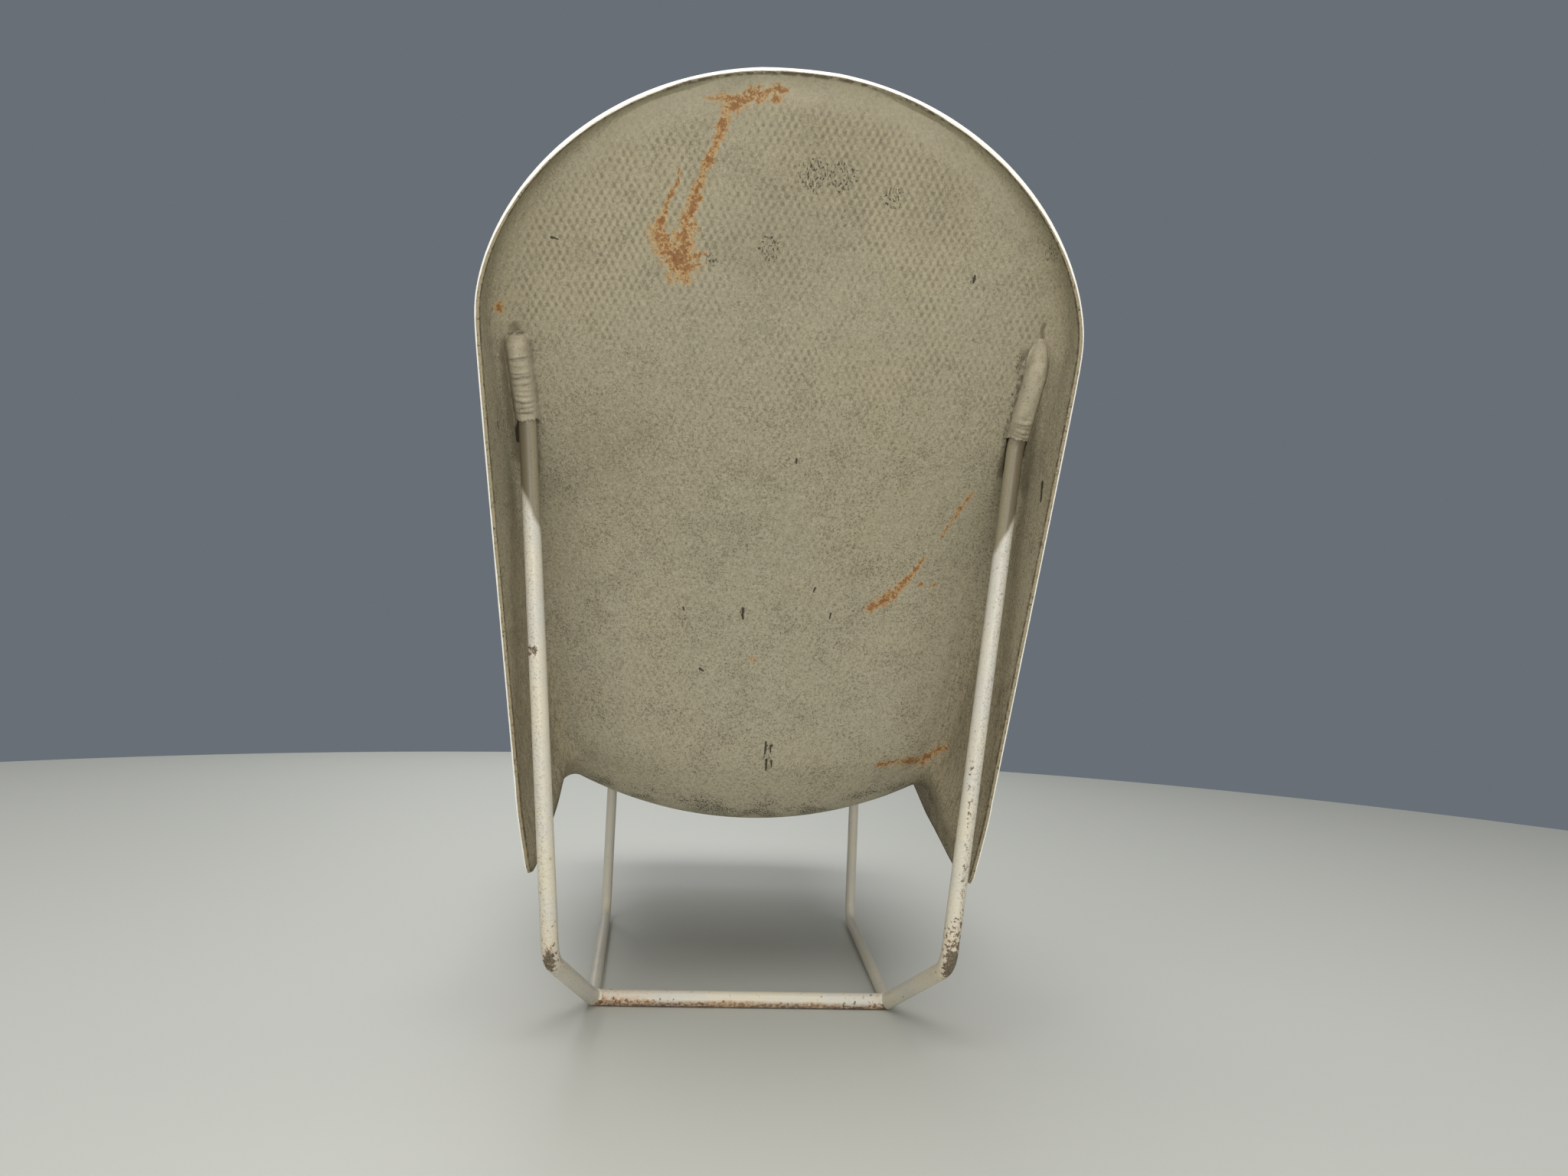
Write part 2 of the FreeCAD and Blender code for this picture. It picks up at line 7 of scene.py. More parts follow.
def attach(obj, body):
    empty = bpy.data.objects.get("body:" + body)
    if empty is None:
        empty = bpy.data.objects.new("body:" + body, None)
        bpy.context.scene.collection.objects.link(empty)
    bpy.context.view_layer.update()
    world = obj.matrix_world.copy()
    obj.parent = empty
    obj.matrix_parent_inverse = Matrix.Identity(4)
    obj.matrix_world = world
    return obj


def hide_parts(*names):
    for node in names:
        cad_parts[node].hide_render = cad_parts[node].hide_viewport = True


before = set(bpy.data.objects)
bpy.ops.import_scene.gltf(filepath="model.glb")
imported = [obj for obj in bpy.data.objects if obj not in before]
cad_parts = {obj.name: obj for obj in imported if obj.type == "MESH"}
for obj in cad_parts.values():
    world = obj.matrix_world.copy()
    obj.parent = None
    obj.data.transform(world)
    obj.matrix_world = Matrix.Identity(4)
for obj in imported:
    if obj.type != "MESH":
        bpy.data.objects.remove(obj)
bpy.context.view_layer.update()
bpy.ops.object.select_all(action="DESELECT")
print("frame loaded:", len(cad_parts), "nodes")


# camera, at the photo's standpoint behind the chair

photoCamera = {
    "place": (0.0898, 1.427, 0.4621),
    "turn": 4.9,          # degrees off the chair's centre line
    "tilt": 3.218,        # looking slightly up
    "roll": 2.387,
    "focal": 1420.0,      # pixels, in a frame of this width
    "frameWidth": 2048,
    "sensor": 36.0,
    "clip": (0.02, 60.0),
}


def setCamera(spec):
    turn, tilt, roll = (radians(spec[key]) for key in ("turn", "tilt", "roll"))
    ahead = -Vector((sin(turn) * cos(tilt), cos(turn) * cos(tilt), -sin(tilt)))
    level = ahead.cross(Vector((0, 0, 1))).normalized()
    upright = level.cross(ahead)
    across = level * cos(roll) + upright * sin(roll)
    top = upright * cos(roll) - level * sin(roll)
    bpy.ops.object.camera_add()
    camera = bpy.context.object
    camera.name = "photoCamera"
    camera.matrix_world = Matrix((across, top, -ahead)).transposed().to_4x4()
    camera.location = spec["place"]
    camera.data.sensor_width = spec["sensor"]
    camera.data.lens = spec["focal"] / spec["frameWidth"] * spec["sensor"]
    camera.data.clip_start, camera.data.clip_end = spec["clip"]
    bpy.context.scene.camera = camera


setCamera(photoCamera)
print("camera set")


# the moulded shell: one sheet from head to foot, in metres and degrees

shellForm = {
    "thickness": 0.005, "hipHeight": 0.234, "hipForward": 0.092, "hipRadius": 0.154,
    "reclineLow": 23.0, "reclineTop": 17.0, "backLength": 0.769,
    "headRollRadius": 0.024, "headRollTurn": 60.0,
    "seatRise": 13.0, "seatLength": 0.370, "kneeRadius": 0.220, "legFall": 15.0, "legLength": 0.222,
    "footRollRadius": 0.080, "footRollTurn": 45.0,
    "archLength": 0.296, "shoulderHalf": 0.336, "shoulderTurn": 0.006, "sideTaper": 5.9,
    "backHalf": 0.2805, "hipHalf": 0.262, "seatHalf": 0.276, "footHalf": 0.262,
    "footCorner": 0.120, "fullDishHalf": 0.280, "heelShare": 0.4,
    "dishHead": 0.010, "dishBack": 0.042, "dishHip": 0.057, "dishSeat": 0.046, "dishFoot": 0.022,
    "dishFrom": 0.3, "dishFull": 0.75,      # as shares of the arch and of the back
    "rimRoll": 0.032, "hipRoll": 0.024, "rollHeld": 0.6, "rollDeepest": 0.92, "rollWidest": 0.6,
    "skirtFlare": 8.0, "crownLength": 0.045, "leastFacing": 0.05,
    "heelSetback": 0.120, "heelHeight": 0.182, "heelRound": 0.018,
    "skirtRise": 14.5, "skirtTurn": 0.012, "seatSkirt": 0.042,
    "archRows": 58, "backRows": 62, "hipRows": 46, "seatRows": 30, "kneeRows": 14, "legRows": 14,
    "cornerRows": 26, "dishColumns": 28, "rollColumns": 14, "skirtColumns": 12,
    "archFrom": 7.0, "cornerTo": 82.0,      # degrees of the rounded ends that the rows cover
    # the fold's mark: its start in columns, its share of the roll, its fade in crown lengths
    "foldEarly": 2, "foldShare": 0.7, "foldFade": 3,
    "rimCuts": 2, "rimBulge": 0.0008, "smoothBelow": 42.0,
}


def profileRuns(form):
    top = radians(form["reclineTop"] - 90)
    low = radians(form["reclineLow"] - 90)
    head = top + radians(form["headRollTurn"])
    rise, fall = radians(form["seatRise"]), -radians(form["legFall"])
    foot = fall - radians(form["footRollTurn"])
    return [(form["headRollRadius"] * (head - top), head, top), (form["backLength"], top, low),
            (form["hipRadius"] * (rise - low), low, rise), (form["seatLength"], rise, rise),
            (form["kneeRadius"] * (rise - fall), rise, fall), (form["legLength"], fall, fall),
            (form["footRollRadius"] * (fall - foot), fall, foot)]


runs = profileRuns(shellForm)
runEnds = [sum(run[0] for run in runs[:count + 1]) for count in range(len(runs))]
headEnd, backEnd, hipEnd, seatEnd, kneeEnd, legEnd, footEnd = runEnds


def walkProfile(station):
    forward = height = 0.0
    heading = runs[0][1]
    for length, start, end in runs:
        step = min(station, length)
        heading = start + (end - start) * step / length
        if start == end:
            forward += step * cos(start)
            height += step * sin(start)
        else:
            bend = (end - start) / length
            forward += (sin(heading) - sin(start)) / bend
            height += (cos(start) - cos(heading)) / bend
        station -= step
        if station <= 0:
            break
    return forward, height, heading


hipLow = walkProfile(backEnd + shellForm["hipRadius"] * -runs[2][1])


def centreLine(station):
    forward, height, heading = walkProfile(station)
    forward += shellForm["hipForward"] - hipLow[0]
    height += shellForm["hipHeight"] - hipLow[1]
    return forward, height, heading


def easeBetween(station, stops):
    if station <= stops[0][0]:
        return stops[0][1]
    for (start, before), (end, after) in zip(stops, stops[1:]):
        if station <= end:
            share = (station - start) / (end - start)
            return before + (after - before) * share * share * (3 - 2 * share)
    return stops[-1][1]


def softLarger(first, second, softness):
    return 0.5 * (first + second + hypot(first - second, softness))


def easeShare(distance, length):
    share = min(1.0, max(0.0, distance / length))
    return share * share * (3 - 2 * share)


def trimDistance(station, point, direction):
    forward, height, heading = centreLine(station)
    square = (-direction[1], direction[0])
    facing = -square[0] * sin(heading) + square[1] * cos(heading)
    if facing < shellForm["leastFacing"]:
        return None
    return (square[0] * (point[0] - forward) + square[1] * (point[1] - height)) / facing


def rearTrim():
    head = centreLine(0.0)
    heel = (-shellForm["heelSetback"], shellForm["heelHeight"])
    run = hypot(heel[0] - head[0], heel[1] - head[1])
    return head, heel, ((heel[0] - head[0]) / run, (heel[1] - head[1]) / run)


def rearReach(station):
    head, heel, direction = rearTrim()
    forward, height, heading = centreLine(station)
    rim = trimDistance(station, heel, direction)
    return ((forward - rim * sin(heading) - head[0]) * direction[0]
            + (height + rim * cos(heading) - head[1]) * direction[1])


archReach = rearReach(shellForm["archLength"])


def stationWhere(reading, wanted, low, high):
    for _ in range(40):
        middle = (low + high) / 2
        if reading(middle) < wanted:
            low = middle
        else:
            high = middle
    return (low + high) / 2


def sideWidth(station):
    form = shellForm
    reach = rearReach(station) / archReach if station < form["archLength"] else 1.0
    arch = form["shoulderHalf"] * sqrt(max(0.0, 1 - (1 - reach) ** 2))
    line = form["backHalf"] + tan(radians(form["sideTaper"])) * (backEnd - station)
    return -softLarger(-arch, -line, form["shoulderTurn"])


def rimHalfWidth(station):
    form = shellForm
    heelStation = backEnd + form["heelShare"] * (hipEnd - backEnd)
    if station <= backEnd:
        width = sideWidth(station)
    elif station < heelStation:
        length = heelStation - backEnd
        share = (station - backEnd) / length
        width = easeBetween(station, [(backEnd, sideWidth(backEnd)), (heelStation, form["hipHalf"])])
        width -= tan(radians(form["sideTaper"])) * length * share * (1 - share) ** 2
    else:
        width = easeBetween(station, [(heelStation, form["hipHalf"]), (seatEnd, form["seatHalf"]),
                                      (footEnd, form["footHalf"])])
    toEnd = footEnd - station
    if toEnd < form["footCorner"]:
        width -= form["footCorner"] * (1 - sqrt(max(0.0, 1 - (1 - toEnd / form["footCorner"]) ** 2)))
    return width


def dishDepth(station, halfWidth):
    form = shellForm
    depth = easeBetween(station, [(form["dishFrom"] * form["archLength"], form["dishHead"]),
                                  (form["dishFull"] * backEnd, form["dishBack"]), (hipEnd, form["dishHip"]),
                                  (seatEnd, form["dishSeat"]), (footEnd, form["dishFoot"])])
    return depth * min(1.0, halfWidth / form["fullDishHalf"]) ** 2


def rimOffset(station, dish):
    form = shellForm
    heel, direction = rearTrim()[1:]
    rear = trimDistance(station, heel, direction)
    if station <= backEnd:
        return rear
    seat = dish - form["seatSkirt"]
    rise = radians(form["skirtRise"])
    under = trimDistance(station, heel, (cos(rise), sin(rise)))
    under = seat if under is None else -softLarger(-under, -seat, form["skirtTurn"])
    if station > kneeEnd:
        fall = radians(form["legFall"])
        edge = trimDistance(station, centreLine(footEnd), (cos(fall), -sin(fall)))
        softness = form["skirtTurn"] / 2 * easeShare(station - kneeEnd, form["legLength"])
        return softLarger(under, edge, softness)
    if rear is None or station > hipEnd:
        return under
    return softLarger(rear, under, form["heelRound"])


def crossSection(station):
    form = shellForm
    width = rimHalfWidth(station)
    dish = dishDepth(station, width)
    rim = rimOffset(station, dish)
    flare = radians(form["skirtFlare"])
    roll = easeBetween(station, [(form["rollHeld"] * backEnd, form["rimRoll"]), (backEnd, form["hipRoll"])])
    roll = min(roll, form["rollDeepest"] * (dish - rim), form["rollWidest"] * width)
    half = width - roll
    for _ in range(8):
        slope = 2 * atan2(dish, half)
        skirt = (dish - roll * cos(slope) + roll * sin(flare) - rim) / cos(flare)
        half = width - roll * (sin(slope) + cos(flare)) - skirt * sin(flare)
    return {"width": width, "rim": rim, "slope": slope, "roll": roll, "skirt": skirt,
            "radius": (half * half + dish * dish) / (2 * dish),
            "centre": (half + roll * sin(slope), dish - roll * cos(slope))}


def halfSection(station):
    form = shellForm
    cut = crossSection(station)
    flare = radians(form["skirtFlare"])
    points, marks = [], []
    for step in range(form["dishColumns"] + 1):
        share = step / form["dishColumns"]
        turn = share * cut["slope"]
        points.append((cut["radius"] * sin(turn), cut["radius"] * (1 - cos(turn))))
        marks.append(share * form["hipHalf"])
    for step in range(1, form["rollColumns"] + 1):
        share = step / form["rollColumns"]
        turn = cut["slope"] - (pi / 2 - flare + cut["slope"]) * share
        points.append((cut["centre"][0] - cut["roll"] * sin(turn),
                       cut["centre"][1] + cut["roll"] * cos(turn)))
        marks.append(form["hipHalf"] + 2 * form["rimRoll"] * share)
    lastX, lastV = points[-1]
    for step in range(1, form["skirtColumns"] + 1):
        share = step / form["skirtColumns"]
        points.append((lastX + share * cut["skirt"] * sin(flare),
                       lastV - share * cut["skirt"] * cos(flare)))
        marks.append(form["hipHalf"] + 2 * form["rimRoll"] + share * form["seatSkirt"])
    full = easeShare(station, form["crownLength"]) * easeShare(footEnd - station, form["footCorner"])
    crown = [mark / marks[-1] for mark in marks]
    return [(full * x + (1 - full) * cut["width"] * share, full * v + (1 - full) * cut["rim"] * share ** 2)
            for (x, v), share in zip(points, crown)]


def placeOnShell(station, lateral, offset):
    forward, height, heading = centreLine(station)
    return Vector((lateral, -(forward - offset * sin(heading)), height + offset * cos(heading)))


def shellStations(form):
    stations = []
    archStart, cornerStop = radians(form["archFrom"]), radians(form["cornerTo"])
    for step in range(form["archRows"] + 1):
        turn = archStart + (pi / 2 - archStart) * step / form["archRows"]
        stations.append(stationWhere(rearReach, archReach * (1 - cos(turn)), 0.0, form["archLength"]))
    cornerStart = footEnd - form["footCorner"]
    for start, end, rows in ((form["archLength"], backEnd, "backRows"), (backEnd, hipEnd, "hipRows"),
                             (hipEnd, seatEnd, "seatRows"), (seatEnd, kneeEnd, "kneeRows"),
                             (kneeEnd, cornerStart, "legRows")):
        stations += [start + (end - start) * step / form[rows] for step in range(1, form[rows] + 1)]
    for step in range(1, form["cornerRows"] + 1):
        stations.append(cornerStart + form["footCorner"] * sin(cornerStop * step / form["cornerRows"]))
    return stations


def activate(piece):
    bpy.ops.object.select_all(action="DESELECT")
    piece.select_set(True)
    bpy.context.view_layer.objects.active = piece


def setFloats(mesh, name, values):
    layer = mesh.attributes.get(name) or mesh.attributes.new(name, "FLOAT", "POINT")
    layer.data.foreach_set("value", values)


def makeShell(form):
    stations = shellStations(form)
    columns = 2 * (form["dishColumns"] + form["rollColumns"] + form["skirtColumns"]) + 1
    bpy.ops.mesh.primitive_grid_add(x_subdivisions=columns - 1, y_subdivisions=len(stations) - 1, size=1)
    shell = bpy.context.object
    shell.name = shell.data.name = "mouldedShell"
    mesh = shell.data
    middle = columns // 2
    flat = []      # distance across from the centre line, station
    for row, station in enumerate(stations):
        half = halfSection(station)
        line = half[:0:-1] + [(-x, v) for x, v in half]
        points = [placeOnShell(station, x, v) for x, v in line]
        across = [0.0] * columns
        for step in range(middle + 1, columns):
            across[step] = across[step - 1] - (points[step] - points[step - 1]).length
        for step in range(middle - 1, -1, -1):
            across[step] = across[step + 1] + (points[step] - points[step + 1]).length
        for column, point in enumerate(points):
            mesh.vertices[row * columns + column].co = point
            flat.append((across[column], station))
    turned = []
    for row, station in enumerate(stations):
        full = easeShare(station, form["foldFade"] * form["crownLength"])
        full *= easeShare(footEnd - station, form["footCorner"])
        for column in range(columns):
            past = abs(column - middle) - form["dishColumns"] + form["foldEarly"]
            turned.append(full * easeShare(past, form["rollColumns"] * form["foldShare"]))
    setFloats(mesh, "fold", turned)
    cloth = mesh.uv_layers[0]
    for loop in mesh.loops:
        cloth.data[loop.index].uv = flat[loop.vertex_index]
    frontCount = len(mesh.vertices)

    activate(shell)
    ply = shell.modifiers.new("ply", "SOLIDIFY")
    ply.thickness = form["thickness"]
    ply.offset = -1.0
    ply.use_even_offset = False
    ply.material_offset = 1
    ply.material_offset_rim = 2
    for name in ("gelcoatFront", "laminateBack", "trimmedEdge"):
        mesh.materials.append(bpy.data.materials.new(name))
    bpy.ops.object.modifier_apply(modifier="ply")
    mesh = shell.data
    setFloats(mesh, "depth", [0.0 if index < frontCount else 1.0 for index in range(len(mesh.vertices))])

    # the trimmed edge is rounded over: its cross edges are cut and the new points move out
    rimEdges = set()
    for face in mesh.polygons:
        if face.material_index == 2:
            for key in face.edge_keys:
                if (key[0] < frontCount) != (key[1] < frontCount):
                    rimEdges.add(key)
    for edge in mesh.edges:
        edge.select = tuple(sorted(edge.vertices)) in rimEdges
    for item in list(mesh.vertices) + list(mesh.polygons):
        item.select = False
    bpy.ops.object.mode_set(mode="EDIT")
    bpy.ops.mesh.select_mode(type="EDGE")
    bpy.ops.mesh.subdivide(number_cuts=form["rimCuts"])
    bpy.ops.object.mode_set(mode="OBJECT")
    mesh = shell.data
    outward = {}
    for face in mesh.polygons:
        if face.material_index == 2:
            for index in face.vertices:
                outward[index] = outward.get(index, Vector()) + face.normal * face.area
    depth = mesh.attributes["depth"]
    for index, push in outward.items():
        if 0.1 < depth.data[index].value < 0.9:
            mesh.vertices[index].co += push.normalized() * form["rimBulge"]

    # how far every point lies from the trimmed edge
    tree = kdtree.KDTree(len(outward))
    for index in outward:
        tree.insert(mesh.vertices[index].co, index)
    tree.balance()
    setFloats(mesh, "fromRim", [tree.find(vertex.co)[2] for vertex in mesh.vertices])
    activate(shell)
    bpy.ops.object.shade_smooth_by_angle(angle=radians(form["smoothBelow"]))
    return shell


shell = makeShell(shellForm)
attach(shell, "root")
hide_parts("seat_shell")
print("shell made:", len(shell.data.polygons), "faces")


# the cloth tabs over the rear tube ends: wet glass cloth laid over the tube and pressed into the fold

tabForm = {
    "tubeRadius": 0.010, "bondGap": 0.0016, "elbowHeight": 0.711, "bondLength": 0.080, "ply": 0.0008,
    "rows": 110, "columns": 46, "smoothBelow": 50.0,
    # outboard to inboard: distance from the tube's axis, height above it
    "drape": [(-0.0166, -0.0070), (-0.0152, -0.0062), (-0.0136, -0.0040), (-0.0120, -0.0005),
              (-0.0106, 0.0032), (-0.0084, 0.0072), (-0.0046, 0.0099), (0.0, 0.0109), (0.0046, 0.0099),
              (0.0084, 0.0072), (0.0106, 0.0030), (0.0118, -0.0014), (0.0131, -0.0056),
              (0.0148, -0.0084), (0.0170, -0.0100)],
    "flankFrom": 0.2, "flankSlope": 0.205, "sunk": 0.0008,
    "ridgeJitter": (-0.32, 0.32), "ridgeWidth": (0.0009, 0.0017), "ridgeLift": (0.35, 1.1),
    "ridgeSkew": (-0.16, 0.16), "ridgeBow": (-9.0, 12.0), "ridgeShift": (-0.006, 0.006),
    "waves": 7, "waveAcross": (70, 190), "wavePhase": (0, 6.28), "waveAlong": (120, 320),
    "waveLift": (0.00006, 0.00018), "waveSqueeze": 3, "waveKept": 0.4, "fray": (-0.0011, 0.0011),
    # start, length of the rise, start of the fall and its length
    "earBand": (0.0105, 0.0035, 0.0150, 0.0060), "footBand": (0.0112, 0.0016, 0.0150, 0.0045),
    "rimBand": (0.74, 0.12, 0.94, 0.06),
    "topFrom": 0.004, "topFade": 0.009, "lipLength": 0.003, "lipHeight": 0.0006,
    "lipCrease": 0.6, "grooveShade": 0.9, "grooveShift": 1.5, "grooveWidth": 1.6,
    "left": {"seed": 11, "start": 0.0, "dome": 0.0800, "end": 0.0960, "domePower": 0.6, "tip": 0.16,
             "ridgesFrom": 0.008, "ridgesTo": 0.076, "ridges": 11, "ridgeHeight": 0.0015, "ear": 0.0085,
             "footIn": 0.45, "footOut": 0.60, "outline": 0.9},
    "right": {"seed": 5, "start": 0.0110, "dome": 0.0800, "end": 0.1260, "domePower": 1.1, "tip": 0.30,
              "ridgesFrom": 0.014, "ridgesTo": 0.040, "ridges": 5, "ridgeHeight": 0.0014, "ear": 0.0050,
              "footIn": 0.95, "footOut": 0.75, "outline": 0.3},
}


def foldAxis(station):
    cut = crossSection(station)
    depth = shellForm["thickness"] + tabForm["bondGap"] + tabForm["tubeRadius"]
    return placeOnShell(station, cut["centre"][0], cut["centre"][1] + cut["roll"] - depth)


def throughPoints(points, share):
    # a smooth line through the points, by share of their number
    spot = share * (len(points) - 1)
    first = min(int(spot), len(points) - 2)
    step = spot - first
    before, start = points[max(first - 1, 0)], points[first]
    end, after = points[first + 1], points[min(first + 2, len(points) - 1)]
    return tuple(0.5 * (2 * b + (c - a) * step + (2 * a - 5 * b + 4 * c - d) * step ** 2
                        + (3 * b - a - 3 * c + d) * step ** 3)
                 for a, b, c, d in zip(before, start, end, after))


def laminateBelow(lateral, form):
    # the fold's back face, as a height from the tube's axis
    bottom = shellForm["rimRoll"] - shellForm["thickness"]
    centre = bottom - form["tubeRadius"] - form["bondGap"]
    flank = form["flankFrom"] * bottom
    if lateral < flank:
        return centre - sqrt(bottom ** 2 - lateral ** 2)
    return centre - sqrt(bottom ** 2 - flank ** 2) + (lateral - flank) * form["flankSlope"]


def riseAndFall(distance, start, rise, stop, fall):
    return easeShare(distance - start, rise) * (1 - easeShare(distance - stop, fall))


def makeTab(side, form):
    own = form[side]
    draw = random.Random(own["seed"])
    elbowStation = stationWhere(lambda station: -foldAxis(station).z, -form["elbowHeight"], headEnd, backEnd)
    elbow, tip = foldAxis(elbowStation), foldAxis(elbowStation - form["bondLength"])
    along = (tip - elbow).normalized()
    toShell = placeOnShell(elbowStation, 0, 1) - placeOnShell(elbowStation, 0, 0)
    outward = -(toShell - along * toShell.dot(along)).normalized()
    inboard = along.cross(outward)
    if inboard.x > 0:
        inboard = -inboard
    spacing = (own["ridgesTo"] - own["ridgesFrom"]) / own["ridges"]
    ridges = [(own["ridgesFrom"] + spacing * (count + 0.5 + draw.uniform(*form["ridgeJitter"])),
               draw.uniform(*form["ridgeWidth"]), own["ridgeHeight"] * draw.uniform(*form["ridgeLift"]),
               draw.uniform(*form["ridgeSkew"]), draw.uniform(*form["ridgeBow"]),
               draw.uniform(*form["ridgeShift"])) for count in range(own["ridges"])]
    waves = [tuple(draw.uniform(*form[key]) for key in ("waveAcross", "wavePhase", "waveAlong", "waveLift"))
             for _ in range(form["waves"])]
    frays = [draw.uniform(*form["fray"]) for _ in range(form["columns"] + 1)]

    bpy.ops.mesh.primitive_grid_add(x_subdivisions=form["columns"], y_subdivisions=form["rows"], size=1)
    tab = bpy.context.object
    tab.name = tab.data.name = "clothTab" + side.capitalize()
    mesh = tab.data
    creases = []
    for row in range(form["rows"] + 1):
        for column in range(form["columns"] + 1):
            share = column / form["columns"]
            if side == "left":
                share = 1 - share       # keeps the faces outward on both sides
            lateral, height = throughPoints(form["drape"], share)
            start = own["start"] - own["ear"] * riseAndFall(abs(lateral), *form["earBand"]) + frays[column]
            distance = start + (own["end"] - start) * row / form["rows"]
            top = 1 - easeShare(abs(lateral) - form["topFrom"], form["topFade"])
            groove = 0.0
            for place, width, lift, skew, bow, shift in ridges:
                away = (distance - place - skew * (lateral - shift) - bow * lateral ** 2) / width
                height += lift * top * exp(-away * away)
                # painted shade on the shadow side just below each ridge
                beside = exp(-(away + form["grooveShift"]) ** 2 * form["grooveWidth"])
                groove = max(groove, lift / own["ridgeHeight"] * top * beside)
            wobble = sum(lift * sin(first * lateral * form["waveSqueeze"] + phase + second * distance)
                         for first, phase, second, lift in waves)
            height += wobble * (form["waveKept"] + (1 - form["waveKept"]) * top)
            past = max(0.0, (distance - own["dome"]) / (own["end"] - own["dome"]))
            kept = max(0.0, 1 - past ** 2) ** own["domePower"]
            lateral *= own["tip"] + (1 - own["tip"]) * kept
            under = laminateBelow(lateral, form) - form["sunk"]
            height = under + (height - under) * kept
            lip = max(0.0, 1 - (distance - start) / form["lipLength"])
            height += form["lipHeight"] * lip * top
            point = elbow + along * distance + inboard * lateral + outward * height
            if side == "right":
                point.x = -point.x
            mesh.vertices[row * (form["columns"] + 1) + column].co = point
            # the crease mask: painted shade below each ridge and along the tab's foot, which also has pits;
            # dark too at the lower lip and the dome's outline
            footing = riseAndFall(abs(lateral), *form["footBand"])
            footing *= own["footIn"] if lateral > 0 else own["footOut"]
            rimmed = own["outline"] * riseAndFall(past, *form["rimBand"])
            creases.append(max(footing, rimmed, form["lipCrease"] * lip, form["grooveShade"] * groove))
    setFloats(mesh, "crease", creases)
    activate(tab)
    sheet = tab.modifiers.new("ply", "SOLIDIFY")
    sheet.thickness = form["ply"]
    sheet.offset = -1.0
    bpy.ops.object.modifier_apply(modifier="ply")
    bpy.ops.object.shade_smooth_by_angle(angle=radians(form["smoothBelow"]))
    return tab


for side in ("left", "right"):
    tab = makeTab(side, tabForm)
    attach(tab, "root")
    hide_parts("rear_bond_tab_" + side)
    tab.data.materials.append(bpy.data.materials.get("tabCloth") or bpy.data.materials.new("tabCloth"))
print("cloth tabs made")


# nodes of a finish: a text given as a value is a name in the look, a triple is a colour as displayed

def linear(red, green, blue):
    def channel(value):
        value /= 255.0
        return value / 12.92 if value <= 0.04045 else ((value + 0.055) / 1.055) ** 2.4
    return (channel(red), channel(green), channel(blue), 1.0)


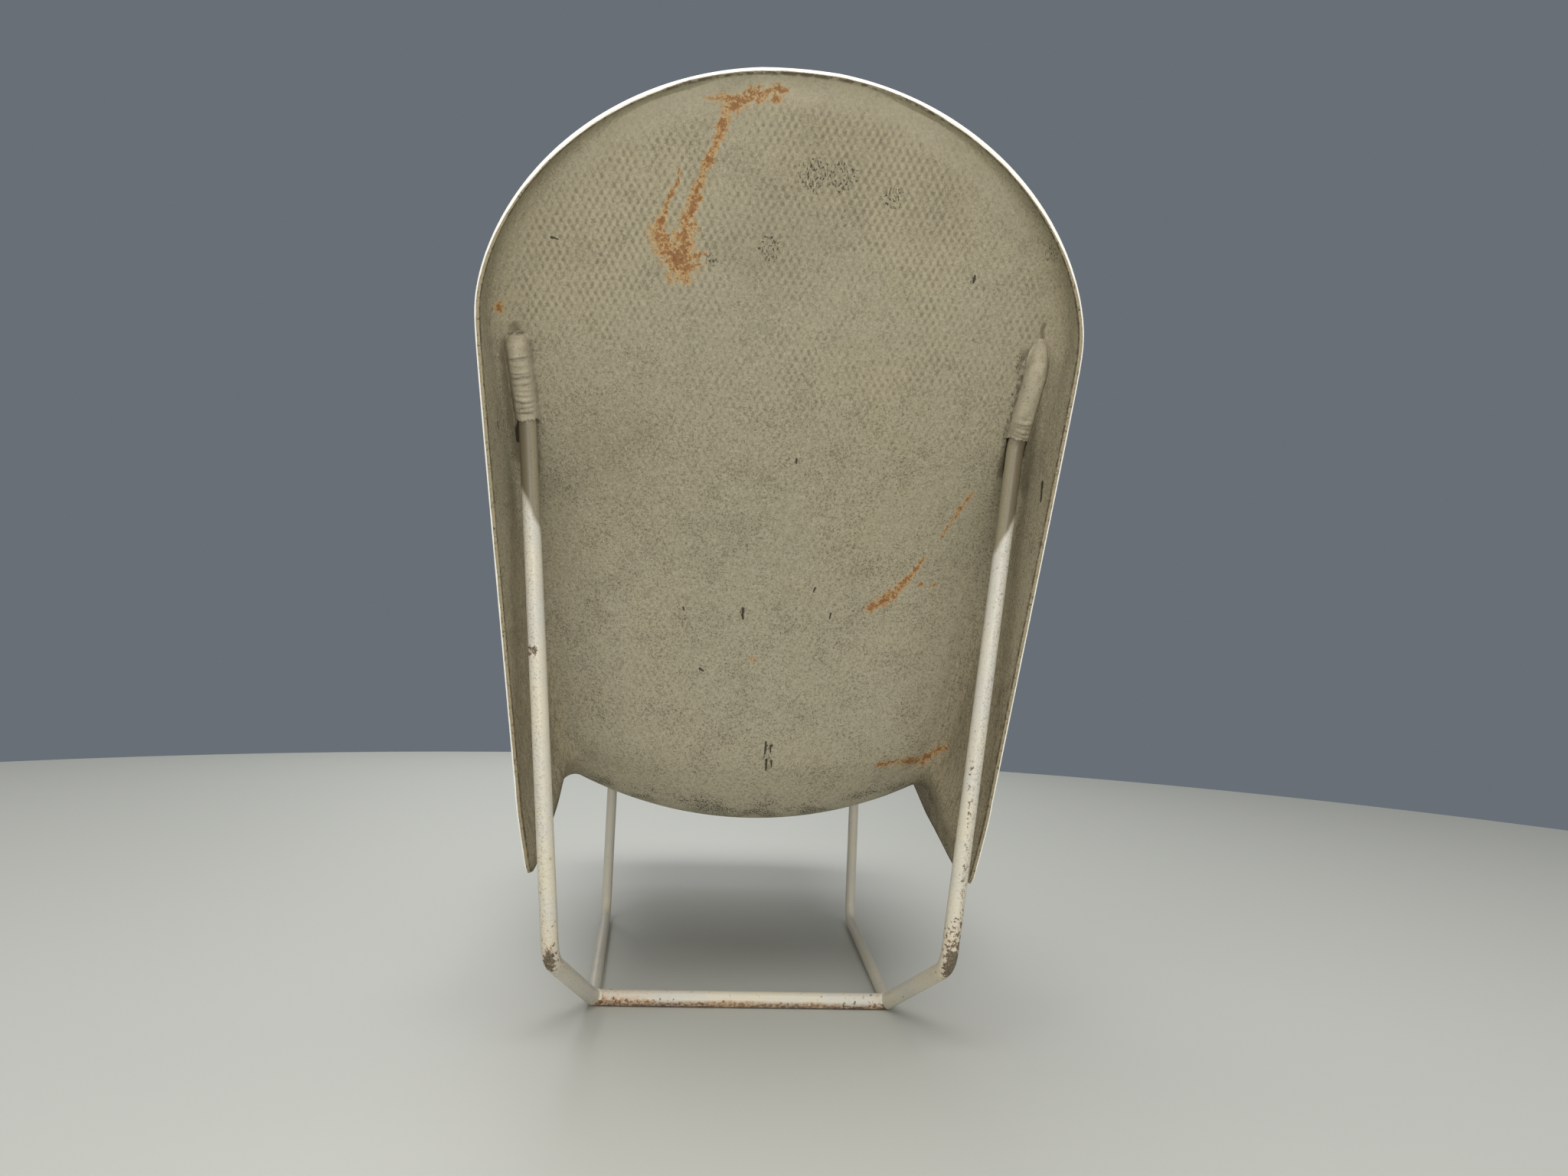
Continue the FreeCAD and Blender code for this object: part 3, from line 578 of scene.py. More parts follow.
class NodeKit:
    def __init__(self, tree, look):
        self.tree = tree
        self.look = look

    def wire(self, socket, value):
        if isinstance(value, str):
            value = self.look[value]
        if isinstance(value, bpy.types.NodeSocket):
            self.tree.links.new(value, socket)
        elif socket.type == "RGBA":
            socket.default_value = linear(*value)
        else:
            socket.default_value = value

    def node(self, kind, inputs=(), **settings):
        node = self.tree.nodes.new("ShaderNode" + kind)
        for name, setting in settings.items():
            setattr(node, name, setting)
        for name, value in dict(inputs).items():
            self.wire(node.inputs[name], value)
        return node.outputs

    def into(self, name, value):
        self.wire(self.tree.nodes["Principled BSDF"].inputs[name], value)

    def place(self, kind):
        return self.node("TexCoord")[kind]

    def reading(self, name):
        return self.node("Attribute", attribute_name=name)["Fac"]

    def split(self, vector):
        return self.node("SeparateXYZ", {0: vector})

    def calc(self, operation, first, second=0.0, clamp=False):
        return self.node("Math", {0: first, 1: second}, operation=operation, use_clamp=clamp)[0]

    def times(self, value, *others):
        for other in others:
            value = self.calc("MULTIPLY", value, other)
        return value

    def plus(self, value, *others):
        for other in others:
            value = self.calc("ADD", value, other)
        return value

    def minus(self, first, second):
        return self.calc("SUBTRACT", first, second)

    def larger(self, first, second):
        return self.calc("MAXIMUM", first, second)

    def vectorCalc(self, operation, first, second=(0.0, 0.0, 0.0)):
        inputs = {0: first, "Scale" if operation == "SCALE" else 1: second}
        single = operation in ("DOT_PRODUCT", "DISTANCE", "LENGTH")
        return self.node("VectorMath", inputs, operation=operation)["Value" if single else "Vector"]

    def cloud(self, vector, name, output="Fac"):
        settings = zip(("Scale", "Detail", "Roughness"), self.look[name])
        return self.node("TexNoise", {"Vector": vector, **dict(settings)})[output]

    def clouds(self, vector, *names):
        return [self.cloud(vector, name) for name in names]

    def shaken(self, place, source, name):
        # the same place, pushed about by a cloud
        push = self.vectorCalc("SUBTRACT", self.cloud(source, name, "Color"), (0.5, 0.5, 0.5))
        return self.vectorCalc("ADD", place, self.vectorCalc("SCALE", push, name + "Reach"))

    def wander(self, noise, reach):
        return self.times(self.minus(noise, 0.5), reach)

    def band(self, value, name):
        # a smooth step: from, to, and the shares there, which are nothing and one if left out
        limits = zip(("From Min", "From Max", "To Min", "To Max"), (*self.look[name], 0.0, 1.0))
        inputs = {"Value": value, **dict(limits)}
        return self.node("MapRange", inputs, interpolation_type="SMOOTHSTEP")["Result"]

    def tint(self, share, first, second):
        return self.node("Mix", {0: share, 6: first, 7: second}, data_type="RGBA")[2]

    def relief(self, height):
        inputs = {"Strength": "bumpStrength", "Distance": "bumpDistance", "Height": height}
        self.into("Normal", self.node("Bump", inputs)["Normal"])

    def largest(self, values):
        # never below nothing; each value is joined as it is made, because Cycles can hold only so many
        total = 0.0
        for value in values:
            total = self.larger(total, value)
        return total

    def roundSpot(self, place, centre, radius):
        # one at the centre, nothing at the radius and beyond
        away = self.vectorCalc("DISTANCE", place, centre)
        return self.larger(self.minus(1.0, self.calc("DIVIDE", away, radius)), 0.0)

    def alongStreak(self, place, startX, startY, endX, endY, startWidth, endWidth):
        # one on the streak's middle line, nothing at its width and less beyond
        run = (endX - startX, endY - startY, 0.0)
        fromStart = self.vectorCalc("SUBTRACT", place, (startX, startY, 0.0))
        share = self.times(self.vectorCalc("DOT_PRODUCT", fromStart, run), 1.0 / (run[0] ** 2 + run[1] ** 2))
        share = self.calc("MINIMUM", self.larger(share, 0.0), 1.0)
        away = self.vectorCalc("DISTANCE", fromStart, self.vectorCalc("SCALE", run, share))
        width = self.plus(self.times(share, endWidth - startWidth), startWidth)
        return self.minus(1.0, self.calc("DIVIDE", away, width))

    def streaks(self, place, name):
        return self.largest(self.alongStreak(place, *(size / 1000 for size in row))
                            for row in self.look[name])

    def spots(self, place, name):
        return self.largest(self.roundSpot(place, (across / 1000, station / 1000, 0.0), radius / 1000)
                            for across, station, radius in self.look[name])


def startFinish(name, look):
    material = bpy.data.materials.get(name) or bpy.data.materials.new(name)
    material.use_nodes = True
    kit = NodeKit(material.node_tree, look)
    kit.into("Roughness", "roughness")
    kit.into("Specular IOR Level", "specular")
    return kit


# the laminate, as it came off the glass cloth: grey-beige resin over a plain weave

laminateLook = {
    "roughness": 0.8, "specular": 0.22, "bumpStrength": 0.6, "bumpDistance": 0.0016,
    "resin": (153, 147, 125), "warm": (157, 149, 124), "tan": (156, 144, 117), "deep": (94, 86, 68),
    "pale": (184, 177, 155), "pit": (46, 40, 32), "rust": (186, 138, 66), "rustDeep": (128, 74, 18),
    # half the spacing of the weave's knuckles
    "threadAcross": 0.0044, "threadAlong": 0.0080,
    # clouds: scale, detail, roughness
    "fine": (520.0, 3.0, 0.7), "speckle": (290.0, 2.0, 0.75), "middling": (120.0, 3.0, 0.65),
    "patch": (22.0, 4.0, 0.6), "broad": (3.4, 3.0, 0.5), "lostWide": (7.0, 2.0, 0.5),
    "lostNear": (60.0, 2.0, 0.5), "streaky": (1.0, 4.0, 0.65), "speck": (1.0, 2.0, 0.6),
    "streakGrain": (300.0, 42.0, 1.0), "speckGrain": (500.0, 250.0, 1.0),
    # clouds that push a place about, and how far
    "slack": (14.0, 3.0, 0.6), "slackReach": 0.008, "kink": (95.0, 3.0, 0.6), "kinkReach": 0.0012,
    "drift": (9.0, 3.0, 0.6), "driftReach": 0.09, "waver": (60.0, 3.0, 0.6), "waverReach": 0.006,
    "fray": (85.0, 5.0, 0.6), "frayReach": 0.012, "tear": (160.0, 3.0, 0.6), "tearReach": 0.004,
    # bands over the clouds, the station or a distance
    "shownWide": (0.36, 0.62, 0.55, 1.0), "shownNear": (0.36, 0.6, 0.50, 1.0), "lowBack": (0.22, 0.44),
    "margin": (0.046, 0.016), "marginPatch": (0.30, 0.62, 0.35, 0.80), "warmth": (0.36, 0.64),
    # painted light: paler resin low on the back, at its sides and under the hip
    "paintedLightDown": (0.42, 0.78, 0.0, 0.6), "paintedLightSide": (0.06, 0.20, 0.5, 1.0),
    "paintedLightHip": (0.74, 0.94, 0.0, 0.85), "handled": (0.0, 0.9, 0.0, 0.18),
    "foldDown": (0.52, 0.75, 0.25, 1.0), "sideDark": (0.46, 0.68, 0.0, 0.6),
    "mottle": (0.5, 0.74, 0.0, 0.16), "blotch": (0.5, 0.72, 0.0, 0.24), "grain": (0.50, 0.64),
    "grainPatch": (0.36, 0.64, 0.36, 0.54), "dots": (0.55, 0.67), "dotsPatch": (0.34, 0.66, 0.16, 0.36),
    "pebbled": (0.0, 1.0, 1.0, 1.6), "hollow": (0.0, -0.70, 0.0, 0.43), "knuckle": (0.10, 0.8, 0.0, 0.27),
    "bright": (0.46, 0.32, 0.0, 0.34), "bellyFrom": (0.825, 0.895), "bellyTo": (1.06, 1.0),
    "bellyPatch": (0.40, 0.60, 0.40, 1.25), "pitNear": (0.0, 0.55), "pitEdge": (0.0, 0.035),
    "grimeAndShadeEdge": (0.0, 0.8, 0.0, 0.66), "crackAndGapShadeEdge": (0.12, 0.5, 0.0, 0.9), "rimDirt": (0.0062, 0.0026),
    "rimPatch": (0.38, 0.58, 0.20, 0.95), "rustEdge": (0.20, 0.74), "rustReach": (0.0, 0.3, 0.0, 0.72),
    "rustThick": (0.50, 0.95),
    # shares
    "foldLoss": 0.8, "lowLoss": 0.62, "foldTan": 0.7, "marginPale": 0.55, "pitLimit": 0.765,
    "pitCrowd": 0.205, "pitShare": 0.85, "rustSpeckle": 2.4, "rustMiddling": 1.8,
    "weaveHeight": 0.50, "fineHeight": 0.45, "middlingHeight": 0.7, "speckleDepth": -0.8,
    "streakHeight": 0.6, "pitDepth": -0.9,
    # marks in millimetres, across from the centre line and along it: a streak has two ends and two widths
    "streaks": [(15, 23, 46.9, 31.6, 8, 13), (46.9, 31.6, 74, 47, 14, 11), (64.1, 36, 98, 40, 9, 4),
        (74, 47, 83.3, 79.8, 11, 8), (83.3, 79.8, 95, 109.7, 8, 8), (95, 109.7, 104.6, 138.1, 7, 9),
        (104.6, 138.1, 112.4, 164, 10, 13), (120.7, 111.7, 135.1, 149.5, 3, 5),
        (135.1, 149.5, 143.7, 177.5, 6, 12), (143.7, 177.5, 118.9, 206.4, 16, 26),
        (112.4, 164, 116, 212, 16, 26), (112, 200, 89, 196, 8, 3), (112, 210, 90, 206, 8, 3),
        (-240, 448.9, -223.4, 476.2, 4, 5), (-223.4, 476.2, -208.2, 505.1, 4, 3),
        (-189, 529, -179.1, 547.7, 4, 7), (-179.1, 547.7, -153.6, 576.9, 7, 11),
        (-153.6, 576.9, -128.7, 593.2, 12, 9), (-164.6, 817.7, -199, 820, 8, 12),
        (-199, 820, -230, 833, 14, 18), (-230, 833, -272, 790, 16, 5)],
    "rustSpots": [(319, 266.5, 11), (-190.7, 562.7, 6), (-208.2, 566.5, 6), (10.9, 661.5, 6),
        (25, 33, 10)],
    "pitClusters": [(-23, 108, 30), (-51.8, 106, 28), (-16.2, 780, 10), (-16.2, 796, 10),
        (83.2, 202.2, 11), (-300, 167.7, 16), (-205.8, 202.2, 7), (29.6, 602.1, 6), (101.4, 602.4, 6),
        (-16.2, 414, 5), (-110, 124, 18), (22, 185, 22), (-276, 283.8, 9), (-276, 296.5, 9),
        (-276.5, 324.3, 10), (-276.5, 344, 10), (299, 300, 9)],
    "smudges": [(-41.2, 83.7, 110), (0, 159.3, 110), (-157.9, 119.9, 80), (210, 420, 100)],
    # grime beside the tabs and tubes, partly painted shade along them
    "grime": [(298.5, 288, 297.5, 308, 12, 20), (311, 308, 308, 395, 16, 18),
        (286, 306, 280, 330, 12, 7), (305, 395, 303, 430, 13, 16), (280, 395, 277, 450, 5, 6),
        (-298.6, 244.3, -302.3, 290.1, 5, 8), (-302.3, 290.1, -306.8, 351.5, 10, 13),
        (-306.8, 351.5, -315, 434, 12, 18), (-279, 378, -277, 420, 8, 11),
        (-283.6, 284, -283, 296, 16, 14)],
    # the first four are the slits beside the tubes: painted shade of the gaps, with dirt
    "cracksAndGapShade": [(302.6, 390.5, 302.2, 415, 5.2, 3.6), (281.2, 391.5, 279.5, 430, 2.6, 1.6),
        (-278, 378.4, -280, 420, 4, 3.4), (-301.8, 374, -303, 399, 4.2, 1.8),
        (345.8, 390, 345, 399, 2.2, 1.2), (-356, 421.8, -362.5, 440.9, 3.6, 3),
        (26.6, 597.5, 26.2, 609.5, 2.8, 1.8), (-12.5, 774, -12.2, 790, 2.4, 1.8),
        (-19, 778, -18.8, 787, 2, 1.5), (-14.8, 798, -15, 812, 2.6, 1.8),
        (-21.2, 799, -21, 808, 2.2, 1.5), (74.6, 678, 70, 681, 2.2, 1.6),
        (97.5, 601, 97, 604, 2.2, 1.6), (-79.3, 600, -79, 606, 1.8, 1.4),
        (-24, 414, -24, 418, 2.2, 1.6), (-209.3, 198.5, -208.5, 205, 2.4, 1.8),
        (-57.6, 568, -56.5, 573, 2, 1.4), (257.1, 189.5, 250, 191, 1.8, 1.3)],
}


def finishLaminate(look):
    kit = startFinish("laminateBack", look)
    place, flat = kit.place("Object"), kit.place("UV")
    fold, fromRim = kit.reading("fold"), kit.reading("fromRim")
    across, station = kit.split(flat)[:2]
    fine, speckle, middling, patch, broad = kit.clouds(place, "fine", "speckle", "middling", "patch", "broad")

    # woven relief, bent a little, lost in patches and weaker low on the back
    bent = kit.shaken(kit.shaken(flat, place, "slack"), place, "kink")
    knuckles = (pi / look["threadAcross"], pi / look["threadAlong"], 1.0)
    threads = kit.split(kit.vectorCalc("MULTIPLY", bent, knuckles))
    weave = kit.times(kit.calc("SINE", threads[0]), kit.calc("SINE", threads[1]))
    shown = kit.times(kit.band(kit.cloud(place, "lostWide"), "shownWide"),
                      kit.band(kit.cloud(place, "lostNear"), "shownNear"))
    lower = kit.band(station, "lowBack")
    for value, loss in ((fold, "foldLoss"), (lower, "lowLoss")):
        shown = kit.times(shown, kit.minus(1.0, kit.times(value, loss)))
    weave = kit.times(weave, shown)

    # a smoother margin inside the rim, painted paler as light catching the rolled edge
    margin = kit.times(kit.band(fromRim, "margin"), kit.band(patch, "marginPatch"), kit.minus(1.0, fold))
    weave = kit.times(weave, kit.minus(1.0, margin))

    # resin, with painted light that makes it paler low down, most at the sides, and under the hip; handling
    # smudges high up
    colour = kit.tint(kit.band(broad, "warmth"), "resin", "warm")
    beside = kit.band(kit.calc("ABSOLUTE", across), "paintedLightSide")
    paintedLight = kit.larger(kit.times(kit.band(station, "paintedLightDown"), beside), kit.band(station, "paintedLightHip"))
    colour = kit.tint(paintedLight, colour, "pale")
    smudge = kit.spots(kit.shaken(flat, place, "drift"), "smudges")
    colour = kit.tint(kit.band(smudge, "handled"), colour, "deep")
    # painted shade: the fold's inner face low on the back is tinted tan and darker, as it looks in shade
    lowFoldShade = kit.times(fold, kit.band(station, "foldDown"))
    colour = kit.tint(kit.times(lowFoldShade, "foldTan"), colour, "tan")

    # darker and paler marks, from patches down to the grain
    wavering = kit.shaken(flat, place, "waver")
    streaky = kit.cloud(kit.vectorCalc("MULTIPLY", wavering, "streakGrain"), "streaky")
    pebbled = kit.band(lower, "pebbled")
    darker = [kit.times(kit.band(streaky, "sideDark"), lowFoldShade),
              kit.band(patch, "mottle"), kit.band(middling, "blotch"),
              kit.times(kit.band(fine, "grain"), kit.band(patch, "grainPatch"), pebbled),
              kit.times(kit.band(speckle, "dots"), kit.band(patch, "dotsPatch"), pebbled),
              kit.band(weave, "hollow")]
    for share in darker:
        colour = kit.tint(share, colour, "deep")
    raised = kit.larger(kit.band(weave, "knuckle"), kit.band(speckle, "bright"))
    # raised knuckles and specks paler; the margin's paleness is painted light on the rolled edge
    for share in (raised, kit.times(margin, "marginPale")):
        colour = kit.tint(share, colour, "pale")

    # pinholes in clusters, a few stray ones, and the dirty edge under the hip
    speck = kit.cloud(kit.vectorCalc("MULTIPLY", flat, "speckGrain"), "speck")
    near = kit.spots(flat, "pitClusters")
    belly = kit.times(kit.band(station, "bellyFrom"), kit.band(station, "bellyTo"),
                      kit.band(patch, "bellyPatch"))
    near = kit.larger(kit.band(near, "pitNear"), belly)
    limit = kit.minus("pitLimit", kit.times(near, "pitCrowd"))
    pits = kit.band(kit.minus(speck, limit), "pitEdge")
    colour = kit.tint(kit.times(pits, "pitShare"), colour, "pit")

    # grime about the tabs and tubes, partly painted shade along them; open cracks and slits, those beside
    # each tube painted shade of the gap, with dirt; and dirt at the rim
    frayed, torn = kit.shaken(flat, place, "fray"), kit.shaken(flat, place, "tear")
    colour = kit.tint(kit.band(kit.streaks(frayed, "grime"), "grimeAndShadeEdge"), colour, "deep")
    colour = kit.tint(kit.band(kit.streaks(torn, "cracksAndGapShade"), "crackAndGapShadeEdge"), colour, "pit")
    colour = kit.tint(kit.times(kit.band(fromRim, "rimDirt"), kit.band(middling, "rimPatch")), colour, "deep")

    # rust run-off, thin at its edges and broken up by the grain
    rust = kit.larger(kit.streaks(frayed, "streaks"), kit.spots(frayed, "rustSpots"))
    broken = kit.plus(kit.wander(speckle, "rustSpeckle"), kit.wander(middling, "rustMiddling"))
    rusted = kit.plus(rust, broken)
    rustShare = kit.times(kit.band(rusted, "rustEdge"), kit.band(rust, "rustReach"))
    rustColour = kit.tint(kit.band(rusted, "rustThick"), "rust", "rustDeep")
    kit.into("Base Color", kit.tint(rustShare, colour, rustColour))

    height = kit.plus(kit.times(weave, "weaveHeight"), kit.times(fine, "fineHeight"),
                      kit.times(middling, "middlingHeight"), kit.times(speckle, "speckleDepth"),
                      kit.times(streaky, fold, "streakHeight"), kit.times(pits, "pitDepth"))
    kit.relief(height)


# the sitter's side: white gelcoat, yellowed and dulled

gelcoatLook = {
    "roughness": 0.42, "specular": 0.45, "bumpStrength": 0.16, "bumpDistance": 0.0012,
    "white": (229, 226, 217), "aged": (222, 214, 195), "grime": (158, 149, 130), "scuff": (201, 196, 184),
    "broad": (3.0, 3.0, 0.5), "fine": (240.0, 4.0, 0.6), "patch": (22.0, 5.0, 0.62),
    "scratch": (1.0, 3.0, 0.6), "scratchGrain": (420.0, 22.0, 1.0), "yellowed": (0.36, 0.68),
    "hipFrom": (0.80, 0.93), "hipTo": (1.10, 0.97), "settled": (0.46, 0.74), "hipGrime": 0.34,
    "otherGrime": 0.1, "scratched": (0.62, 0.74), "scuffPatch": (0.5, 0.66, 0.0, 0.55),
    "dotScale": 85.0, "dotRare": 0.955, "dotEdge": (0.16, 0.07, 0.0, 0.6),
    "gloss": 0.26, "patchMatt": 0.26, "scuffMatt": 0.2, "patchHeight": 0.7, "fineHeight": 0.12,
}


def finishGelcoat(look):
    kit = startFinish("gelcoatFront", look)
    place, flat = kit.place("Object"), kit.place("UV")
    station = kit.split(flat)[1]
    broad, fine, patch = kit.clouds(place, "broad", "fine", "patch")
    colour = kit.tint(kit.band(broad, "yellowed"), "white", "aged")
    hip = kit.times(kit.band(station, "hipFrom"), kit.band(station, "hipTo"))
    settled = kit.plus(kit.times(hip, "hipGrime"), "otherGrime")
    colour = kit.tint(kit.times(kit.band(patch, "settled"), settled), colour, "grime")
    scratch = kit.cloud(kit.vectorCalc("MULTIPLY", flat, "scratchGrain"), "scratch")
    scuffs = kit.times(kit.band(scratch, "scratched"), kit.band(patch, "scuffPatch"))
    colour = kit.tint(scuffs, colour, "scuff")
    dots = kit.node("TexVoronoi", {"Vector": flat, "Scale": "dotScale"})
    rare = kit.calc("GREATER_THAN", kit.split(dots["Color"])[1], "dotRare")
    colour = kit.tint(kit.times(rare, kit.band(dots["Distance"], "dotEdge")), colour, "grime")
    kit.into("Base Color", colour)
    kit.into("Roughness", kit.plus(kit.times(patch, "patchMatt"), kit.times(scuffs, "scuffMatt"), "gloss"))
    kit.relief(kit.plus(kit.times(patch, "patchHeight"), kit.times(fine, "fineHeight")))


# the trimmed edge: gelcoat white outside, raw laminate inside

edgeLook = {
    "roughness": 0.55, "specular": 0.4, "bumpStrength": 0.3, "bumpDistance": 0.0006,
    "white": (240, 238, 231), "raw": (144, 132, 104), "fleck": (70, 60, 46),
    "fine": (300.0, 4.0, 0.65), "chip": (55.0, 4.0, 0.6), "whiteShare": (0.08, 0.24, 0.86, 0.36),
    "wavy": 0.30, "border": (-0.05, 0.05), "flecked": (0.52, 0.66),
}


def finishEdge(look):
    kit = startFinish("trimmedEdge", look)
    station = kit.split(kit.place("UV"))[1]
    fine, chip = kit.clouds(kit.place("Object"), "fine", "chip")
    wavy = kit.plus(kit.reading("depth"), kit.wander(chip, "wavy"))
    raw = kit.band(kit.minus(wavy, kit.band(station, "whiteShare")), "border")
    kit.into("Base Color", kit.tint(raw, "white", kit.tint(kit.band(fine, "flecked"), "raw", "fleck")))
    kit.relief(fine)


finishLaminate(laminateLook)
finishGelcoat(gelcoatLook)
finishEdge(edgeLook)
print("shell finishes made")


# the frame's tubes keep their CAD form, under chipped cream paint

paintLook = {
    "roughness": 0.42, "specular": 0.4, "bumpStrength": 0.35, "bumpDistance": 0.0007,
    "cream": (202, 195, 175), "cool": (195, 192, 181), "laminate": (138, 130, 108), "bare": (96, 86, 70),
    "dark": (62, 54, 45), "rust": (160, 106, 60), "stain": (184, 150, 106), "deepRust": (108, 66, 34),
    "brown": (106, 97, 77),
    "patch": (17.0, 3.0, 0.6), "speck": (230.0, 3.0, 0.62), "coarse": (430.0, 2.0, 0.7),
    "fine": (700.0, 3.0, 0.6),
    "cooler": (0.38, 0.66), "dusty": (0.54, 0.74, 0.0, 0.16), "chipped": (0.44, 0.70),
    "nearFloor": (0.016, 0.002), "rustGrain": (0.40, 0.58), "stainSpeck": (0.34, 0.58, 0.25, 0.95),
    "chipLimit": 0.715, "halo": (-0.06, 0.01, 0.0, 0.45), "chipEdge": (0.0, 0.025), "bareDark": (0.44, 0.6),
    "barePale": (0.50, 0.62, 0.0, 0.6), "bareShare": 0.92, "gloss": 0.30, "bareMatt": 0.34,
    "patchMatt": 0.18, "patchHeight": 0.5, "bareDepth": -0.5, "fineHeight": 0.10,
}
legLook = {
    "chips": 0.035, "bend": (0.228, 0.163, 0.101), "bendReach": 0.060, "bendWear": 0.07, "bendStain": 0.25,
    "lowWear": (0.30, 0.12, 0.0, 0.015),
    # how far out the tube's axis stands at the floor, and its growth with height
    "tubeRadius": 0.010, "axisOut": 0.2188, "axisSplay": 0.0907,
    "grit": (0.50, 0.64), "gritSide": (0.5, -0.4, 0.16, 0.44),
    # the right leg's line of chips crosses the tube as it falls
    "chipTilt": 6.5, "chipShift": -1.735, "chipReach": (0.55, 0.08), "chipTop": (0.39, 0.33),
    "chipWear": 0.125,
    "rubbed": (0.2292, 0.1700, 0.0975), "rubbedSize": (0.0068, 0.0130, 0.0190), "rubbedWear": 0.25,
    "scraped": (0.2310, 0.1730, 0.1280), "scrapedSize": (0.0085, 0.0120, 0.0330), "scrapedWear": 0.15,
    "rubEdge": (1.7, 0.5), "nickHeight": 0.448, "nickLength": (0.008, 0.003), "nickSide": (0.35, -0.05),
    "nickWear": 0.26, "sprayTop": (0.604, 0.618), "sprayInside": 0.022, "sprayWander": 0.03,
    "spraySide": (-0.1, 0.6), "sprayGrain": (0.48, 0.66, 0.0, 0.4),
}
sideLook = {"chips": 0.012, "low": 0.05}
barLook = {
    "chips": 0.075, "leftEnd": (0.068, 0.183, 0.0, 0.85), "rightEnd": (-0.163, -0.190), "creep": 0.014,
    "endRise": 0.0045, "crept": (0.0118, 0.0050), "creptWear": 0.125, "endWear": 0.055, "creptStain": 0.95,
    "endStain": 0.30, "deepPatch": (0.35, 0.62, 0.2, 0.9),
}
weldLook = {"chips": 0.12, "low": 0.10}


def wearLeg(kit, place, patch, coarse, fine, colour, worn):
    # one finish serves both legs, so places are read as on the left one
    x, y, z = place
    out = kit.calc("ABSOLUTE", x)
    folded = kit.node("CombineXYZ", {0: out, 1: y, 2: z})[0]
    atBend = kit.roundSpot(folded, "bend", "bendReach")
    worn = kit.plus(worn, kit.times(atBend, "bendWear"), kit.band(z, "lowWear"))
    # where a point lies across the tube, from its outer side to its inner one
    axis = kit.plus(kit.times(z, "axisSplay"), "axisOut")
    inside = kit.calc("DIVIDE", kit.minus(axis, out), "tubeRadius")
    colour = kit.tint(kit.times(kit.band(coarse, "grit"), kit.band(inside, "gritSide")), colour, "brown")

    # the right leg has a line of small chips, and its bend is scraped higher up
    rightLeg = kit.calc("LESS_THAN", x, 0.0)
    chipPath = kit.plus(kit.times(z, "chipTilt"), "chipShift")
    offPath = kit.calc("ABSOLUTE", kit.minus(inside, chipPath))
    chipLine = kit.times(kit.band(offPath, "chipReach"), kit.band(z, "chipTop"), rightLeg)
    worn = kit.plus(worn, kit.times(chipLine, "chipWear"))
    for name, share in (("rubbed", 1.0), ("scraped", rightLeg)):
        offset = kit.vectorCalc("DIVIDE", kit.vectorCalc("SUBTRACT", folded, name), name + "Size")
        rubbed = kit.band(kit.vectorCalc("LENGTH", offset), "rubEdge")
        worn = kit.plus(worn, kit.times(rubbed, name + "Wear", share))

    # one knock through the paint, on the left leg's outer side
    fromNick = kit.calc("ABSOLUTE", kit.minus(z, "nickHeight"))
    leftLeg = kit.calc("GREATER_THAN", x, 0.0)
    nick = kit.times(kit.band(fromNick, "nickLength"), kit.band(inside, "nickSide"), leftLeg)
    worn = kit.plus(worn, kit.times(nick, "nickWear"))

    # laminate coat sprayed over the tube's upper end, lower on its inner side
    edge = kit.plus(z, kit.times(inside, "sprayInside"), kit.wander(patch, "sprayWander"))
    spray = kit.tint(kit.band(inside, "spraySide"), "brown", "laminate")
    spray = kit.tint(kit.band(fine, "sprayGrain"), spray, "bare")
    colour = kit.tint(kit.band(edge, "sprayTop"), colour, spray)
    return colour, worn, kit.times(atBend, "bendStain")


def wearBar(kit, place, patch, worn):
    # rust creeps up from the floor, most of all at the ends
    x, z = place[0], place[2]
    ends = kit.larger(kit.band(x, "leftEnd"), kit.band(x, "rightEnd"))
    level = kit.plus(z, kit.wander(patch, "creep"))
    crept = kit.band(kit.minus(level, kit.times(ends, "endRise")), "crept")
    worn = kit.plus(worn, kit.times(crept, "creptWear"), kit.times(ends, "endWear"))
    stained = kit.calc("ADD", kit.times(crept, "creptStain"), kit.times(ends, "endStain"), clamp=True)
    return worn, stained, kit.times(crept, kit.band(patch, "deepPatch"))


